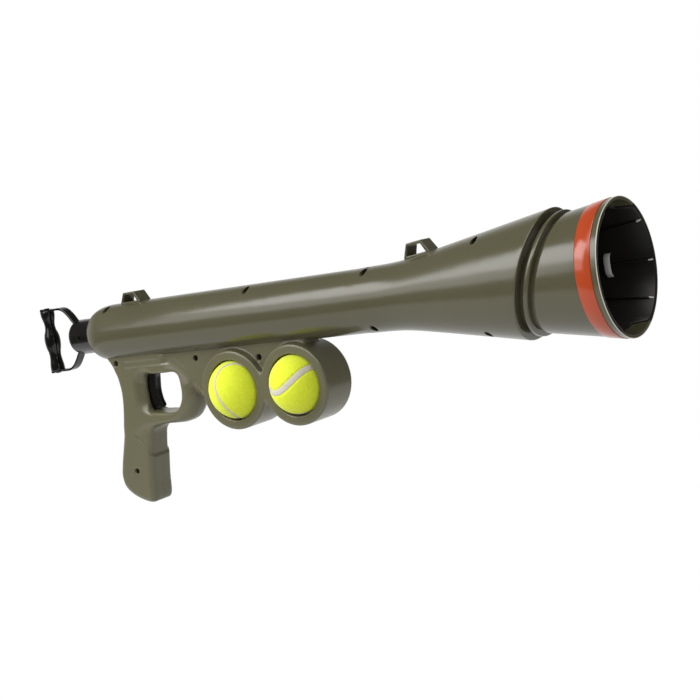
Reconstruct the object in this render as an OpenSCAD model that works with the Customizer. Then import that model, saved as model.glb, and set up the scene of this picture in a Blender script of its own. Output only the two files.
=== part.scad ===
// Spring-driven ball launcher for dogs, with two spare balls in holders under the barrel.
// Millimetres. +X is the way the ball flies and +Z is up.
// The origin is the centre of the muzzle rim, on the barrel axis.

/* [Barrel] */
// Length from the muzzle rim to the rear end of the barrel
barrel_len = 661; // [650:1:680]
// Outer radius of the straight barrel tube
tube_r = 32.5; // [32:0.1:36]
// Wall of the moulded shells
shell_wall = 2.5; // [2:0.1:3.2]
// Length of the rounded rear end
dome_len = 30; // [24:1:34]
// Width of the flat ring at the rear end
dome_lip = 0.8; // [0.5:0.1:2]
// Gap between the two shells at the parting plane
parting_gap = 0.1; // [0.05:0.01:0.3]

/* [Flare and muzzle] */
// Length of the flare, from the tube to the collar
flare_len = 160.5; // [155:0.5:165]
// Outer radius at the front of the flare
flare_r = 59.5; // [58:0.1:61]
// Length over which the flare blends out of the tube
flare_blend = 18; // [10:1:26]
// Length of the rounded bead that ends the flare
bead_len = 6.5; // [5:0.5:10]
// Drop of the bead towards the collar
bead_drop = 4; // [3:0.1:5]
// Lean of the bead and the collar, top forward, in degrees
collar_tilt = 17.5; // [14:0.5:20]
// Length of the collar between the flare and the cone
collar_len = 8; // [6:0.5:10]
// How far the collar stands out from the cone
collar_h = 1.8; // [1:0.1:2.4]
// Length of the muzzle cone in front of the collar
cone_len = 68; // [64:0.5:72]
// Outer radius of the cone at the collar
cone_base_r = 52.6; // [51.8:0.1:53.2]
// Outer radius of the muzzle rim
rim_r = 62.7; // [60:0.1:68]
// Wall of the muzzle cone
cone_wall = 3.2; // [2.6:0.1:3.6]
// Rounding of the rim's outer edge
rim_round = 1.2; // [0.5:0.1:2]
// Length of the cone's rear end that the shells clamp
clamp_len = 33; // [30:1:36]
// Width of the orange band
band_w = 18; // [12:0.5:26]
// Distance of the band's front edge behind the rim
band_back = 4; // [2.5:0.5:8]
// Thickness of the band
band_t = 0.6; // [0.4:0.1:1]
// Depth of the groove that the band lies in
band_groove = 0.5; // [0.3:0.05:0.8]
// Wall of the dark liner
liner_wall = 1.8; // [1.4:0.1:2.4]
// Distance of the liner's front edge behind the rim
liner_back = 12; // [8:1:20]
// Number of ribs round the inside of the muzzle
rib_count = 8; // [6:1:12]
// Height of a rib
rib_h = 3.5; // [2:0.5:5]
// Thickness of a rib
rib_t = 2; // [1.5:0.5:3]
// Distance of the two clips behind the rim, to their middle
clip_back = 41; // [32:1:50]
// Length of a clip along the barrel
clip_len = 8; // [6:0.5:12]
// Width of a clip round the wall
clip_w = 22; // [16:1:26]
// How far a clip stands in from the liner
clip_h = 3.6; // [2:0.2:4.4]

/* [Balls and holders] */
// Radius of a ball
ball_r = 32.5; // [31:0.1:33.5]
// Thickness of the felt skin
felt_t = 2.8; // [2:0.1:4]
// Thickness of the rubber core's wall
core_t = 3.6; // [2.5:0.1:5]
// Gap between a ball and its holder
ball_gap = 0.3; // [0.3:0.05:0.8]
// Outer radius of a ball holder
holder_r = 43; // [41:0.5:46]
// Depth of a ball holder, side to side
holder_w = 45; // [40:1:52]
// Rounding of a holder's edges
holder_round = 2; // [1:0.5:3]
// Drop of the holders' centres below the barrel axis
holder_drop = 75.5; // [75:0.5:80]
// Distance between the holders' centres
holder_pitch = 84; // [82:1:90]
// Distance of the front holder's centre in front of the barrel's rear end
holder_fore = 286.5; // [281:0.5:293]
// How far a ball's centre stands towards the open side of its holder
ball_out = 11; // [8:0.5:13]
// Radius of the opening in the stop at the holder's back
stop_r = 27; // [24:0.5:29]
// Thickness of the web under the barrel
web_w = 25; // [22:1:28]
// Distance of the web's front end in front of the barrel's rear end
web_fore = 302.5; // [299:0.5:309]

/* [Grip and trigger] */
// Width of the grip and trigger guard
grip_w = 34; // [32:1:40]
// Depth of the rounding along the grip's edges
grip_round = 10; // [6:1:12]
// How far that rounding takes the edges in
grip_inset = 5; // [3:0.5:5]
// Wall of the grip
grip_wall = 2.8; // [2.2:0.1:3.2]
// Distance of the trigger pin in front of the grip's reference line
trigger_fore = 76; // [74:1:78]
// Drop of the trigger pin below the barrel axis
trigger_drop = 41.5; // [41:0.1:42]
// Width of the trigger
trigger_w = 10; // [9:0.5:12]
// Radius of the trigger pin
trigger_pin_r = 2; // [1.5:0.1:2.4]
// Radius of the trigger's hub
trigger_hub_r = 5; // [4.5:0.1:5.5]
// Reach of the trigger's front arm
arm_reach = 12; // [11:0.5:13]
// Reach of the sear's rear arm
sear_reach = 36; // [34:0.5:38]
// Width of the sear
sear_w = 8; // [6:0.5:9]
// Radius of the sear pin
sear_pin_r = 1.75; // [1.4:0.05:2]
// Length of the sear's nose along the barrel
nose_len = 6; // [4:0.5:7]

/* [Plunger] */
// Travel of the plunger from rest to full cock
stroke = 90; // [80:1:95]
// Outer radius of the pull tube
pull_r = 20.3; // [19.5:0.1:21]
// Wall of the pull tube
pull_wall = 2.5; // [2:0.1:3]
// Length of the pull tube behind the barrel at rest
pull_out = 34.5; // [30:0.5:40]
// Radius of the plunger rod
rod_r = 6; // [5:0.1:7]
// Length of the rod's coupler
coupler_len = 20; // [14:1:26]
// Thickness of the fixed spring seat
seat_t = 7; // [5:0.5:9]
// Thickness of the collar that the spring pushes
collar_t = 8; // [6:0.5:10]
// Radius of that collar
push_collar_r = 20; // [17:0.5:20.5]
// Thickness of the rubber buffer
buffer_t = 6; // [4:0.5:8]
// Thickness of the front guide
guide_t = 7; // [5:0.5:9]
// Mean radius of the main spring
spring_r = 14; // [11:0.5:16]
// Radius of the main spring's wire
spring_wire_r = 1.3; // [1:0.1:1.6]
// Turns of the main spring
spring_turns = 18; // [14:1:22]
// Radius of the pusher cup
cup_r = 24; // [22:0.5:25]
// Length of the pusher cup
cup_len = 24; // [18:1:28]
// Distance of the cup's front edge behind the rim at rest
cup_back = 126; // [120:1:132]
// Thickness of the pusher pad
pad_t = 3; // [2:0.5:5]

/* [Handle] */
// Distance of the handle bar behind the pull tube
handle_reach = 51.5; // [48:0.5:58]
// Length of the handle bar
bar_len = 71; // [66:1:80]
// Radius of the bar at its middle
bar_mid_r = 9.3; // [8:0.1:11]
// Radius of the bar at its two necks
bar_neck_r = 7; // [6:0.1:8]
// Radius of the bar at its ends
bar_end_r = 8.4; // [7:0.1:9.5]
// Thickness of the handle's straps
strap_t = 2.4; // [2:0.1:2.6]
// Width of the handle's straps
strap_w = 11; // [9:0.5:11.5]

/* [Fasteners] */
// Radius of a shell screw's shank
screw_r = 1.5; // [1.2:0.1:1.8]
// Radius of a shell screw's head
screw_head_r = 2.7; // [2.4:0.1:2.9]
// Height of a shell screw's head
screw_head_h = 2; // [1.5:0.1:2.5]
// Length of a shell screw's shank
screw_len = 16; // [14:1:18]
// Radius of the well over a shell screw
well_r = 3.1; // [3:0.1:3.4]
// Wall of a screw boss round its well
boss_wall = 1.5; // [1.2:0.1:1.8]

/* [Fits] */
// Running clearance of pins, rods and tubes
run_gap = 0.06; // [0.03:0.01:0.09]
// Clearance of pieces that are seated in one another
seat_gap = 0.05; // [0.02:0.01:0.1]
// Clearance between pieces that move past each other
move_gap = 0.4; // [0.3:0.05:0.6]

/* [Hidden] */
$fn = 64;
eps = 0.01;
big = 900;

olive = [0.38, 0.37, 0.28];
black = [0.11, 0.10, 0.09];
steel = [0.7, 0.7, 0.72];
orange = [0.75, 0.27, 0.12];
pale_grey = [0.78, 0.78, 0.77];
felt_yellow = [0.78, 0.85, 0.2];

// Places along the barrel
rear_x = -barrel_len;
shell_front_x = -(cone_len + collar_len);
flare_x = shell_front_x - flare_len;
flare_slope = (flare_r - tube_r) / flare_len;
flare_from_x = flare_x - 2.2 * flare_blend;
bore_r = tube_r - shell_wall;

function flare_radius(x) =
  let (u = x - flare_x) tube_r + flare_slope * (u + sqrt(u * u + flare_blend * flare_blend)) / 2;
function cone_radius(x) = cone_base_r + (rim_r - cone_base_r) * (x + cone_len) / cone_len;
function cone_bore(x) = cone_radius(x) - cone_wall;
function liner_bore(x) = cone_bore(x) - seat_gap - liner_wall;

// Rear end of the cone inside the shells
clamp_x = shell_front_x - clamp_len;
flange_t = 3;
flange_r = flare_radius(clamp_x - flange_t) - shell_wall - move_gap;
cone_rear_x = clamp_x - flange_t - seat_gap;

// Ball chamber
chamber_r = ball_r + 1;
chamber_wall = 2;
chamber_out_r = chamber_r + chamber_wall;
chamber_lip = 3;
chamber_front_x = cone_rear_x - seat_gap;
chamber_rear_r = chamber_out_r + shell_wall + 2.6;
chamber_rear_x = flare_x + (chamber_rear_r - tube_r) / flare_slope;
chamber_hole_r = cup_r + 1;
chamber_rib_t = 5;

// Rear bush
bush_wall = 1.3;
bush_r = pull_r + run_gap + bush_wall;
bush_hole_r = bush_r + seat_gap;
bush_flange = 2.8;
bush_len = 16;
bush_flange_t = 4;
stock_x = rear_x - 3;
dome_r = bush_hole_r + dome_lip;

// Trigger and sear
trigger_x = stock_x + trigger_fore;
trigger_z = -trigger_drop;
arm_tip_r = 2;
arm_tip_up = 2.85;
arm_half = 1.4;
sear_arm_t = 2.6;
sear_top_z = trigger_z + arm_tip_up - arm_tip_r - move_gap * 0.75;
sear_x = trigger_x + arm_reach + sear_reach;
sear_hub_r = 4;
sear_z = sear_top_z - 0.45;
sear_fore = 15;
nose_rear_x = trigger_x + arm_reach + arm_tip_r + move_gap * 4;
nose_top_z = -pull_r - move_gap;
sear_pull = 0.345 * 12;
nose_back = (nose_top_z - sear_z) * sin(sear_pull);

// Plunger
catch_gap = nose_back + move_gap;
tube_front_x = nose_rear_x - catch_gap + stroke;
tube_rear_x = rear_x - pull_out;
pull_bore = pull_r - pull_wall;
seat_rear_x = tube_front_x + 0.8;
seat_front_x = seat_rear_x + seat_t;
guide_front_x = flare_from_x;
guide_rear_x = guide_front_x - guide_t;
buffer_rear_x = guide_rear_x - seat_gap - buffer_t;
push_front_x = buffer_rear_x - move_gap * 0.75;
push_rear_x = push_front_x - collar_t;
cup_front_x = -cup_back;
cup_rear_x = cup_front_x - cup_len;
bulkhead_r = bore_r - seat_gap;
bulkhead_rib = 2;
plug_len = 22;
plug_cap = 1.5;
plug_screw_x = tube_rear_x + 15;
plug_screw_r = 2.2;

// Handle
handle_x = tube_rear_x - handle_reach;
strap_lap = 13;
rivet_r = 1.5;
rivet_head_r = 3;
rivet_head_h = 1.2;
rivet_x = tube_rear_x + strap_lap / 2 - 1;

// Holders
front_holder_x = rear_x + holder_fore;
web_front_x = rear_x + web_fore;
rear_holder_x = front_holder_x - holder_pitch;
holder_z = -holder_drop;
hole_r = ball_r + ball_gap;
stop_y = -ball_out + sqrt(ball_r * ball_r - stop_r * stop_r) + move_gap;
stop_t = 3;

// Screw places in X and Z: four along the top, then the underside, the web and the grip
top_drop = 4.6;
flare_screw_x = shell_front_x - 59.5;
screw_spots = [
  [stock_x + 33, tube_r - top_drop],
  [stock_x + 243, tube_r - top_drop],
  [flare_x - 32.5, tube_r - top_drop + 1],
  [flare_screw_x, flare_radius(flare_screw_x) - top_drop - 1.5],
  [flare_x - 28.5, -tube_r + top_drop + 1],
  [flare_screw_x, -flare_radius(flare_screw_x) + top_drop + 1.5],
  [stock_x + 33.4, -tube_r - 1.6],
  [stock_x + 152.3, -tube_r - 5.4],
  [(front_holder_x + rear_holder_x) / 2 - 5.6, -tube_r - 11.6],
  [stock_x + 35, -160.5]
];
screw_head_y = -screw_len / 2;

// Smooth curve through points, closed or open
function catmull(a, b, c, d, t) =
  0.5 * ((2 * b) + (c - a) * t + (2 * a - 5 * b + 4 * c - d) * t * t
  + (3 * b - a - 3 * c + d) * t * t * t);
function closed_curve(p, n) =
  let (m = len(p))
  [for (i = [0:m - 1]) for (k = [0:n - 1])
    catmull(p[(i + m - 1) % m], p[i], p[(i + 1) % m], p[(i + 2) % m], k / n)];
function open_curve(p, n) =
  let (m = len(p))
  [for (i = [0:m - 2]) for (k = [0:(i == m - 2 ? n : n - 1)])
    catmull(p[max(i - 1, 0)], p[i], p[i + 1], p[min(i + 2, m - 1)], k / n)];
function unit(v) = v / norm(v);
function side(p, i) =
  let (d = unit(p[min(i + 1, len(p) - 1)] - p[max(i - 1, 0)])) [-d[1], d[0]];
function strip(p, t) = concat(
  [for (i = [0:len(p) - 1]) p[i] + side(p, i) * t / 2],
  [for (i = [len(p) - 1:-1:0]) p[i] - side(p, i) * t / 2]);

// Outline of the grip and trigger guard, measured from the reference line and the barrel axis
grip_points = [
  [24, -20], [26, -39.5], [30.5, -53], [31.5, -75], [24, -110], [9.5, -152], [6.4, -167],
  [9.5, -180], [21, -190], [36, -196.5], [48, -198.5], [54.5, -193.5], [57.5, -172], [62.5, -146],
  [66, -128], [70, -116], [80, -110.5], [95, -108.5], [109, -108], [122, -107],
  [136, -101], [149, -89], [152.5, -62], [137, -49], [118, -33], [110, -20]
];
grip_outline = [for (p = open_curve(grip_points, 2)) [p[0] + stock_x, p[1]]];

// Opening inside the trigger guard
guard_points = [
  [67.5, -60], [71, -51.8], [84, -50.4], [104, -50.4], [117, -50.6], [123.6, -56], [126, -68],
  [124, -81], [118, -90], [111, -94.5], [98, -95.5], [84, -94.6], [71, -93], [67, -85], [66.5, -72]
];
guard_outline = [for (p = closed_curve(guard_points, 3)) [p[0] + stock_x, p[1]]];

// Hollows in the grip's sides behind the trigger, for the finger
scoop_r = 20;
scoop_y = 29;
scoop_x = stock_x + 72;
scoop_low_z = -93.5;
scoop_high_z = -51;

// Blade of the trigger, measured from its pin
trigger_points = [
  [5, 1], [5.5, -8], [4.6, -17], [2.6, -29], [4, -40], [6.6, -48], [2, -50.5], [-6, -50.5],
  [-9, -47], [-12.4, -33], [-13.5, -18], [-11, -6], [-4, 3]
];
trigger_outline = [for (p = closed_curve(trigger_points, 3)) [p[0] + trigger_x, p[1] + trigger_z]];

// Tongue of the trigger that covers its slot
tongue_points = [[3, -7.6], [27, -7.6], [27, -10.4], [3, -12]];

// Strap loops on top of the barrel: base and top widths, height and wall
loop_w = 18.6;
loop_base = 30.5;
loop_top = 17;
loop_h = 11.5;
loop_wall = 3.2;
loop_rear_slant = 6;
rear_loop_x = stock_x + 66.6;
front_loop_x = flare_x + 28.3;
front_loop_tilt = 4;

// Solid of revolution about the barrel axis, from [x, r] points
module lathe(points) {
  rotate([0, 90, 0]) rotate_extrude($fn = 96) polygon([for (p = points) [p[1], p[0]]]);
}
// Ring about the barrel axis
module ring(x0, x1, r0, r1) {
  lathe([[x0, r0], [x1, r0], [x1, r1], [x0, r1]]);
}
// Rod about the barrel axis
module rod_along(x0, x1, r) {
  translate([x0, 0, 0]) rotate([0, 90, 0]) cylinder(h = x1 - x0, r = r);
}
// Round bar or hole across the barrel at [x, z], from y0 to y1
module across(x, z, y0, y1, r) {
  translate([x, y1, z]) rotate([90, 0, 0]) cylinder(h = y1 - y0, r = r);
}
// Plate across the barrel from an outline in X and Z
module slab(outline, half) {
  rotate([90, 0, 0]) translate([0, 0, -half]) linear_extrude(2 * half) polygon(outline);
}
// Box from its low and high corners
module box(low, high) {
  translate(low) cube(high - low);
}

function dome_points(steps) =
  [for (i = [0:steps]) let (a = 90 * i / steps)
    [rear_x + dome_len * (1 - cos(a)), dome_r + (tube_r - dome_r) * sin(a)]];
function flare_points(x0, x1, steps, inset) =
  [for (i = [0:steps]) let (x = x0 + (x1 - x0) * i / steps) [x, flare_radius(x) - inset]];
// Everything behind a leaning plane that crosses the axis at x
module behind(x) {
  translate([x, 0, 0]) rotate([0, collar_tilt, 0])
    box([-big, -big / 4, -big / 4], [0, big / 4, big / 4]);
}

// Everything in front of it
module ahead(x) {
  translate([x, 0, 0]) rotate([0, collar_tilt, 0])
    box([0, -big / 4, -big / 4], [big / 4, big / 4, big / 4]);
}

// The barrel with its flare cut by a leaning plane, and the bead's shoulder in steps
lean_room = flare_r * tan(collar_tilt) + 4;
bead_steps = 3;

module barrel_outside() {
  to_x = shell_front_x + lean_room;
  from_x = shell_front_x - bead_len - lean_room - 5;
  intersection() {
    lathe(concat([[rear_x, 0]], dome_points(8), flare_points(flare_from_x, to_x, 16, 0), [[to_x, 0]]));
    behind(shell_front_x - bead_len);
  }
  for (k = [1:bead_steps]) {
    a = 90 * k / bead_steps;
    drop = bead_drop * (1 - cos(a));
    intersection() {
      lathe([[from_x, 0], [from_x, flare_radius(from_x) - drop],
        [to_x, flare_radius(to_x) - drop], [to_x, 0]]);
      behind(shell_front_x - bead_len * (1 - sin(a)));
    }
  }
}

module barrel_bore() {
  lathe(concat(
    [[rear_x - 1, 0], [rear_x - 1, bush_hole_r], [rear_x + bush_len, bush_hole_r],
     [rear_x + bush_len, bush_hole_r + bush_flange],
     [rear_x + bush_len + 10, bush_hole_r + bush_flange], [rear_x + bush_len + 12, bore_r]],
    flare_points(flare_from_x, clamp_x, 14, shell_wall),
    [[clamp_x, cone_radius(clamp_x) + seat_gap], [-5, cone_radius(-5) + seat_gap], [-5, 0]]));
}

// Rib pair that holds a bulkhead between x0 and x1
module bulkhead_ribs(x0, x1) {
  for (x = [x0 - seat_gap - bulkhead_rib, x1 + seat_gap])
    ring(x, x + bulkhead_rib, bore_r - 3, bore_r + shell_wall / 2);
}

module barrel_ribs() {
  bulkhead_ribs(seat_rear_x, seat_front_x);
  bulkhead_ribs(guide_rear_x, guide_front_x);
  ring(chamber_rear_x + 1, chamber_rear_x + 1 + chamber_rib_t, chamber_out_r + seat_gap,
    flare_radius(chamber_rear_x + 1) - shell_wall / 2);
  stop_x = chamber_front_x - chamber_lip - seat_gap;
  ring(stop_x - bulkhead_rib, stop_x, flange_r - 4, flare_radius(stop_x - bulkhead_rib) - shell_wall / 2);
}

module holder_outside(x) {
  half = holder_w / 2;
  corner = [for (i = [0:4]) let (a = 90 * i / 4)
    [holder_r - holder_round * (1 - sin(a)), half - holder_round * (1 - cos(a))]];
  translate([x, 0, holder_z]) rotate([90, 0, 0]) rotate_extrude($fn = 96)
    polygon(concat([[0, half]], corner, [for (i = [4:-1:0]) [corner[i][0], -corner[i][1]]], [[0, -half]]));
}

module strap_loop(x, base_z, tilt) {
  foot = -5;
  half = loop_base / 2;
  shoulder = -half + loop_rear_slant;
  outer = [[-half, foot], [-half, 0], [shoulder, loop_h], [shoulder + loop_top, loop_h],
    [half, 0], [half, foot]];
  hole = [[-half + loop_wall + 1.2, 1.2], [shoulder + 1.8, loop_h - loop_wall],
    [shoulder + loop_top - 1.8, loop_h - loop_wall], [half - loop_wall - 2, 1.2]];
  translate([x, 0, base_z]) rotate([0, -tilt, 0]) difference() {
    slab(outer, loop_w / 2);
    slab(hole, loop_w);
  }
}

web_outline = [
  [stock_x + 30, -tube_r + 12], [web_front_x, -tube_r + 12], [web_front_x, holder_z + 20],
  [front_holder_x, holder_z], [rear_holder_x, holder_z], [rear_holder_x - holder_r + 2, holder_z - 10],
  [stock_x + 150, holder_z - 10], [stock_x + 120, -50], [stock_x + 30, -45]
];

// Block with edges rounded in steps, from a closed outline in X and Z
function inward(p, i) =
  let (m = len(p), d = unit(p[(i + 1) % m] - p[(i + m - 1) % m])) [-d[1], d[0]];
module rounded_slab(p, half, depth, inset) {
  steps = 3;
  for (k = [0:steps]) {
    a = 90 * k / steps;
    slab([for (i = [0:len(p) - 1]) p[i] + inward(p, i) * inset * (1 - cos(a))],
      half - depth + depth * sin(a));
  }
}

module grip_hollow() {
  half = grip_w / 2 - 1.6 * grip_wall;
  rotate([90, 0, 0]) translate([0, 0, -half]) linear_extrude(2 * half) offset(delta = -grip_wall)
    difference() {
      polygon(grip_outline);
      polygon(guard_outline);
    }
}

module web_hollow() {
  half = web_w / 2 - shell_wall;
  rotate([90, 0, 0]) translate([0, 0, -half]) linear_extrude(2 * half) offset(delta = -shell_wall)
    polygon(web_outline);
}

module holder_hollow(x) {
  translate([x, 0, holder_z]) rotate([90, 0, 0])
    difference() {
      cylinder(h = holder_w - 2 * shell_wall, r = holder_r - shell_wall, center = true, $fn = 96);
      cylinder(h = holder_w, r = hole_r + shell_wall, center = true, $fn = 96);
    }
}

module pin_boss(x, z, from_y) {
  for (s = [-1, 1])
    across(x, z, s > 0 ? from_y : -grip_w / 2 + 1, s > 0 ? grip_w / 2 - 1 : -from_y, trigger_hub_r);
}

// What stays solid inside the hollows of the grip and the web
module hollow_keep() {
  rod_along(rear_x, web_front_x + 20, tube_r);
  for (x = [front_holder_x, rear_holder_x]) across(x, holder_z, -holder_w, holder_w, holder_r);
  for (s = screw_spots) across(s[0], s[1], -grip_w, grip_w, well_r + boss_wall);
  pin_boss(trigger_x, trigger_z, trigger_w / 2 + move_gap);
  pin_boss(sear_x, sear_z, sear_w / 2 + move_gap);
  scoops(scoop_r + grip_wall, grip_wall);
}

// Round cuts in both sides of the grip behind the trigger
module scoops(r, more) {
  for (s = [-1, 1])
    translate([scoop_x, s * scoop_y, scoop_low_z - more])
      cylinder(h = scoop_high_z - scoop_low_z + 2 * more, r = r, $fn = 96);
}

// Bosses inside the barrel, kept clear of the plunger
module barrel_bosses() {
  for (i = [0:5])
    intersection() {
      across(screw_spots[i][0], screw_spots[i][1], -big, big, well_r + boss_wall);
      if (i == 3 || i == 5) ring(rear_x, clamp_x, chamber_out_r + move_gap, flare_r);
      else ring(rear_x, flare_x, push_collar_r + 1, tube_r);
      barrel_outside();
    }
}

module casing_outside() {
  barrel_outside();
  slab(web_outline, web_w / 2);
  rounded_slab(grip_outline, grip_w / 2, grip_round, grip_inset);
  holder_outside(front_holder_x);
  holder_outside(rear_holder_x);
  strap_loop(rear_loop_x, tube_r, 0);
  strap_loop(front_loop_x, flare_radius(front_loop_x), front_loop_tilt);
}

module casing() {
  difference() {
    union() {
      difference() {
        casing_outside();
        barrel_bore();
        difference() {
          union() {
            grip_hollow();
            web_hollow();
          }
          hollow_keep();
        }
        holder_hollow(front_holder_x);
        holder_hollow(rear_holder_x);
      }
      barrel_ribs();
      barrel_bosses();
    }
    for (x = [front_holder_x, rear_holder_x]) {
      across(x, holder_z, -holder_w, stop_y, hole_r);
      across(x, holder_z, -holder_w, holder_w, stop_r);
      across(x, holder_z, stop_y + stop_t, holder_w, hole_r);
    }
    slab(guard_outline, grip_w);
    scoops(scoop_r, 0);
    trigger_slot();
    nose_slot();
    across(trigger_x, trigger_z, -grip_w / 2 + 3, grip_w / 2 - 3, trigger_pin_r + seat_gap);
    across(sear_x, sear_z, -web_w / 2 + 2, web_w / 2 - 2, sear_pin_r + seat_gap);
    for (s = screw_spots) {
      across(s[0], s[1], -big / 10, screw_head_y, well_r);
      across(s[0], s[1], screw_head_y - 1, screw_len / 2 + 1, screw_r + seat_gap);
    }
  }
}

module trigger_slot() {
  half = trigger_w / 2 + move_gap;
  box([trigger_x - 25, -half, trigger_z - 52], [trigger_x - 5, half, trigger_z - 6]);
  box([trigger_x - 16, -half, trigger_z - 20], [trigger_x + 31, half, trigger_z - 6]);
}

module nose_slot() {
  half = sear_w / 2 + 2 * move_gap;
  box([nose_rear_x - nose_back - 2, -half, -tube_r - 2], [nose_rear_x + nose_len + 2, half, -pull_r - 2]);
}

module right_shell() {
  color(olive) intersection() {
    casing();
    box([-big, -big / 4, -big / 2], [0, -parting_gap / 2, big / 2]);
  }
}

module left_shell() {
  color(olive) intersection() {
    casing();
    box([-big, parting_gap / 2, -big / 2], [0, big / 4, big / 2]);
  }
}

// Ribs round the inside of the muzzle, between two places, from inner radius to wall
module muzzle_ribs(x0, x1, gap) {
  intersection() {
    lathe([[x0, cone_bore(x0) - gap - rib_h], [x1, cone_bore(x1) - gap - rib_h],
      [x1, cone_bore(x1) - gap + 0.5], [x0, cone_bore(x0) - gap + 0.5]]);
    for (i = [0:rib_count - 1])
      rotate([360 / rib_count * i, 0, 0]) box([x0 - 1, 0, -rib_t / 2], [x1 + 1, rim_r, rib_t / 2]);
  }
}

module muzzle_cone() {
  collar_x = shell_front_x + 2 * seat_gap;
  band0 = -band_back - band_w - seat_gap;
  band1 = -band_back + seat_gap;
  ridge_from = collar_x - lean_room;
  ridge_to = -cone_len + lean_room;
  color(olive) {
    difference() {
      union() {
        lathe([[cone_rear_x, 0], [cone_rear_x, flange_r], [clamp_x - seat_gap, flange_r],
          [clamp_x - seat_gap, cone_radius(clamp_x)], [band0, cone_radius(band0)],
          [band0, cone_radius(band0) - band_groove], [band1, cone_radius(band1) - band_groove],
          [band1, cone_radius(band1)], [-rim_round, cone_radius(-rim_round)],
          [-rim_round * 0.3, rim_r - rim_round * 0.35], [0, rim_r - rim_round], [0, 0]]);
        for (k = [0, 1])
          intersection() {
            lathe([[ridge_from, 0], [ridge_from, cone_radius(ridge_from) + collar_h - k],
              [ridge_to, cone_radius(ridge_to) + collar_h - k], [ridge_to, 0]]);
            ahead(collar_x);
            behind(-cone_len - 2 + 2 * k);
          }
      }
      lathe([[cone_rear_x - 1, 0], [cone_rear_x - 1, cone_bore(cone_rear_x)],
        [cone_rear_x, cone_bore(cone_rear_x)], [0, cone_bore(0)], [1, cone_bore(0)], [1, 0]]);
    }
    muzzle_ribs(-liner_back + 0.5, -1, 0);
  }
}

module muzzle_band() {
  x0 = -band_back - band_w;
  x1 = -band_back;
  floor_in = band_groove - seat_gap;
  color(orange) lathe([[x0, cone_radius(x0) - floor_in], [x1, cone_radius(x1) - floor_in],
    [x1, cone_radius(x1) - floor_in + band_t], [x0, cone_radius(x0) - floor_in + band_t]]);
}

module muzzle_liner() {
  x0 = cone_rear_x;
  x1 = -liner_back;
  color(black) {
    lathe([[x0, liner_bore(x0)], [x1, liner_bore(x1)],
      [x1, cone_bore(x1) - seat_gap], [x0, cone_bore(x0) - seat_gap]]);
    difference() {
      muzzle_ribs(x0, x1, liner_wall);
      for (s = [0, 180])
        rotate([s, 0, 0]) box([-clip_back - clip_len / 2 - move_gap, 0, -clip_w / 2],
          [-clip_back + clip_len / 2 + move_gap, rim_r, clip_w / 2]);
    }
  }
}

module liner_clips() {
  x0 = -clip_back - clip_len / 2;
  x1 = -clip_back + clip_len / 2;
  color(pale_grey) intersection() {
    lathe([[x0, liner_bore(x0) - clip_h * 0.6], [x0 + 2, liner_bore(x0) - clip_h],
      [x1 - 2, liner_bore(x1) - clip_h], [x1, liner_bore(x1) - clip_h * 0.6],
      [x1, liner_bore(x1) - seat_gap], [x0, liner_bore(x0) - seat_gap]]);
    box([x0 - 1, -rim_r, -clip_w / 2], [x1 + 1, rim_r, clip_w / 2]);
  }
}

module ball_chamber() {
  flange_x = chamber_front_x - chamber_lip;
  color(black) lathe([
    [chamber_rear_x - chamber_lip, chamber_hole_r], [chamber_rear_x, chamber_hole_r],
    [chamber_rear_x, chamber_r], [chamber_front_x, chamber_r],
    [chamber_front_x, flange_r], [flange_x, flange_r],
    [flange_x, chamber_out_r], [chamber_rear_x - chamber_lip, chamber_out_r]]);
}

module front_guide() {
  color(black) ring(guide_rear_x, guide_front_x, rod_r + run_gap, bulkhead_r);
}

module buffer_ring() {
  color(black) ring(buffer_rear_x, guide_rear_x - seat_gap, rod_r + move_gap, push_collar_r);
}

module spring_seat() {
  color(black) ring(seat_rear_x, seat_front_x, rod_r + run_gap, bulkhead_r);
}

module rear_bush() {
  flange_x = rear_x + bush_len + seat_gap;
  color(black) lathe([[rear_x + 0.5, pull_r + run_gap], [flange_x + bush_flange_t, pull_r + run_gap],
    [flange_x + bush_flange_t, bush_r + bush_flange], [flange_x, bush_r + bush_flange], [flange_x, bush_r],
    [rear_x + 0.5, bush_r]]);
}

module shell_screws() {
  color(steel) for (s = screw_spots) {
    across(s[0], s[1], screw_head_y - screw_head_h, screw_head_y - seat_gap, screw_head_r);
    across(s[0], s[1], screw_head_y - 1, screw_len / 2, screw_r);
  }
}

module trigger_pin() {
  color(steel) across(trigger_x, trigger_z, -grip_w / 2 + 3.5, grip_w / 2 - 3.5, trigger_pin_r);
}

module sear_pin() {
  color(steel) across(sear_x, sear_z, -web_w / 2 + 2.5, web_w / 2 - 2.5, sear_pin_r);
}

module trigger() {
  half = trigger_w / 2;
  tip = [trigger_x + arm_reach, trigger_z + arm_tip_up];
  along = unit([arm_reach, arm_tip_up]);
  up = [-along[1], along[0]] * arm_half;
  pin = [trigger_x, trigger_z];
  color(black) difference() {
    union() {
      slab(trigger_outline, half);
      across(trigger_x, trigger_z, -half, half, trigger_hub_r);
      slab([pin - up, tip - up, tip + up, pin + up], half / 2);
      slab([for (p = tongue_points) pin + p], half - 1);
      across(tip[0], tip[1], -half / 2, half / 2, arm_tip_r);
    }
    across(trigger_x, trigger_z, -half - 1, half + 1, trigger_pin_r + run_gap);
  }
}

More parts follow.
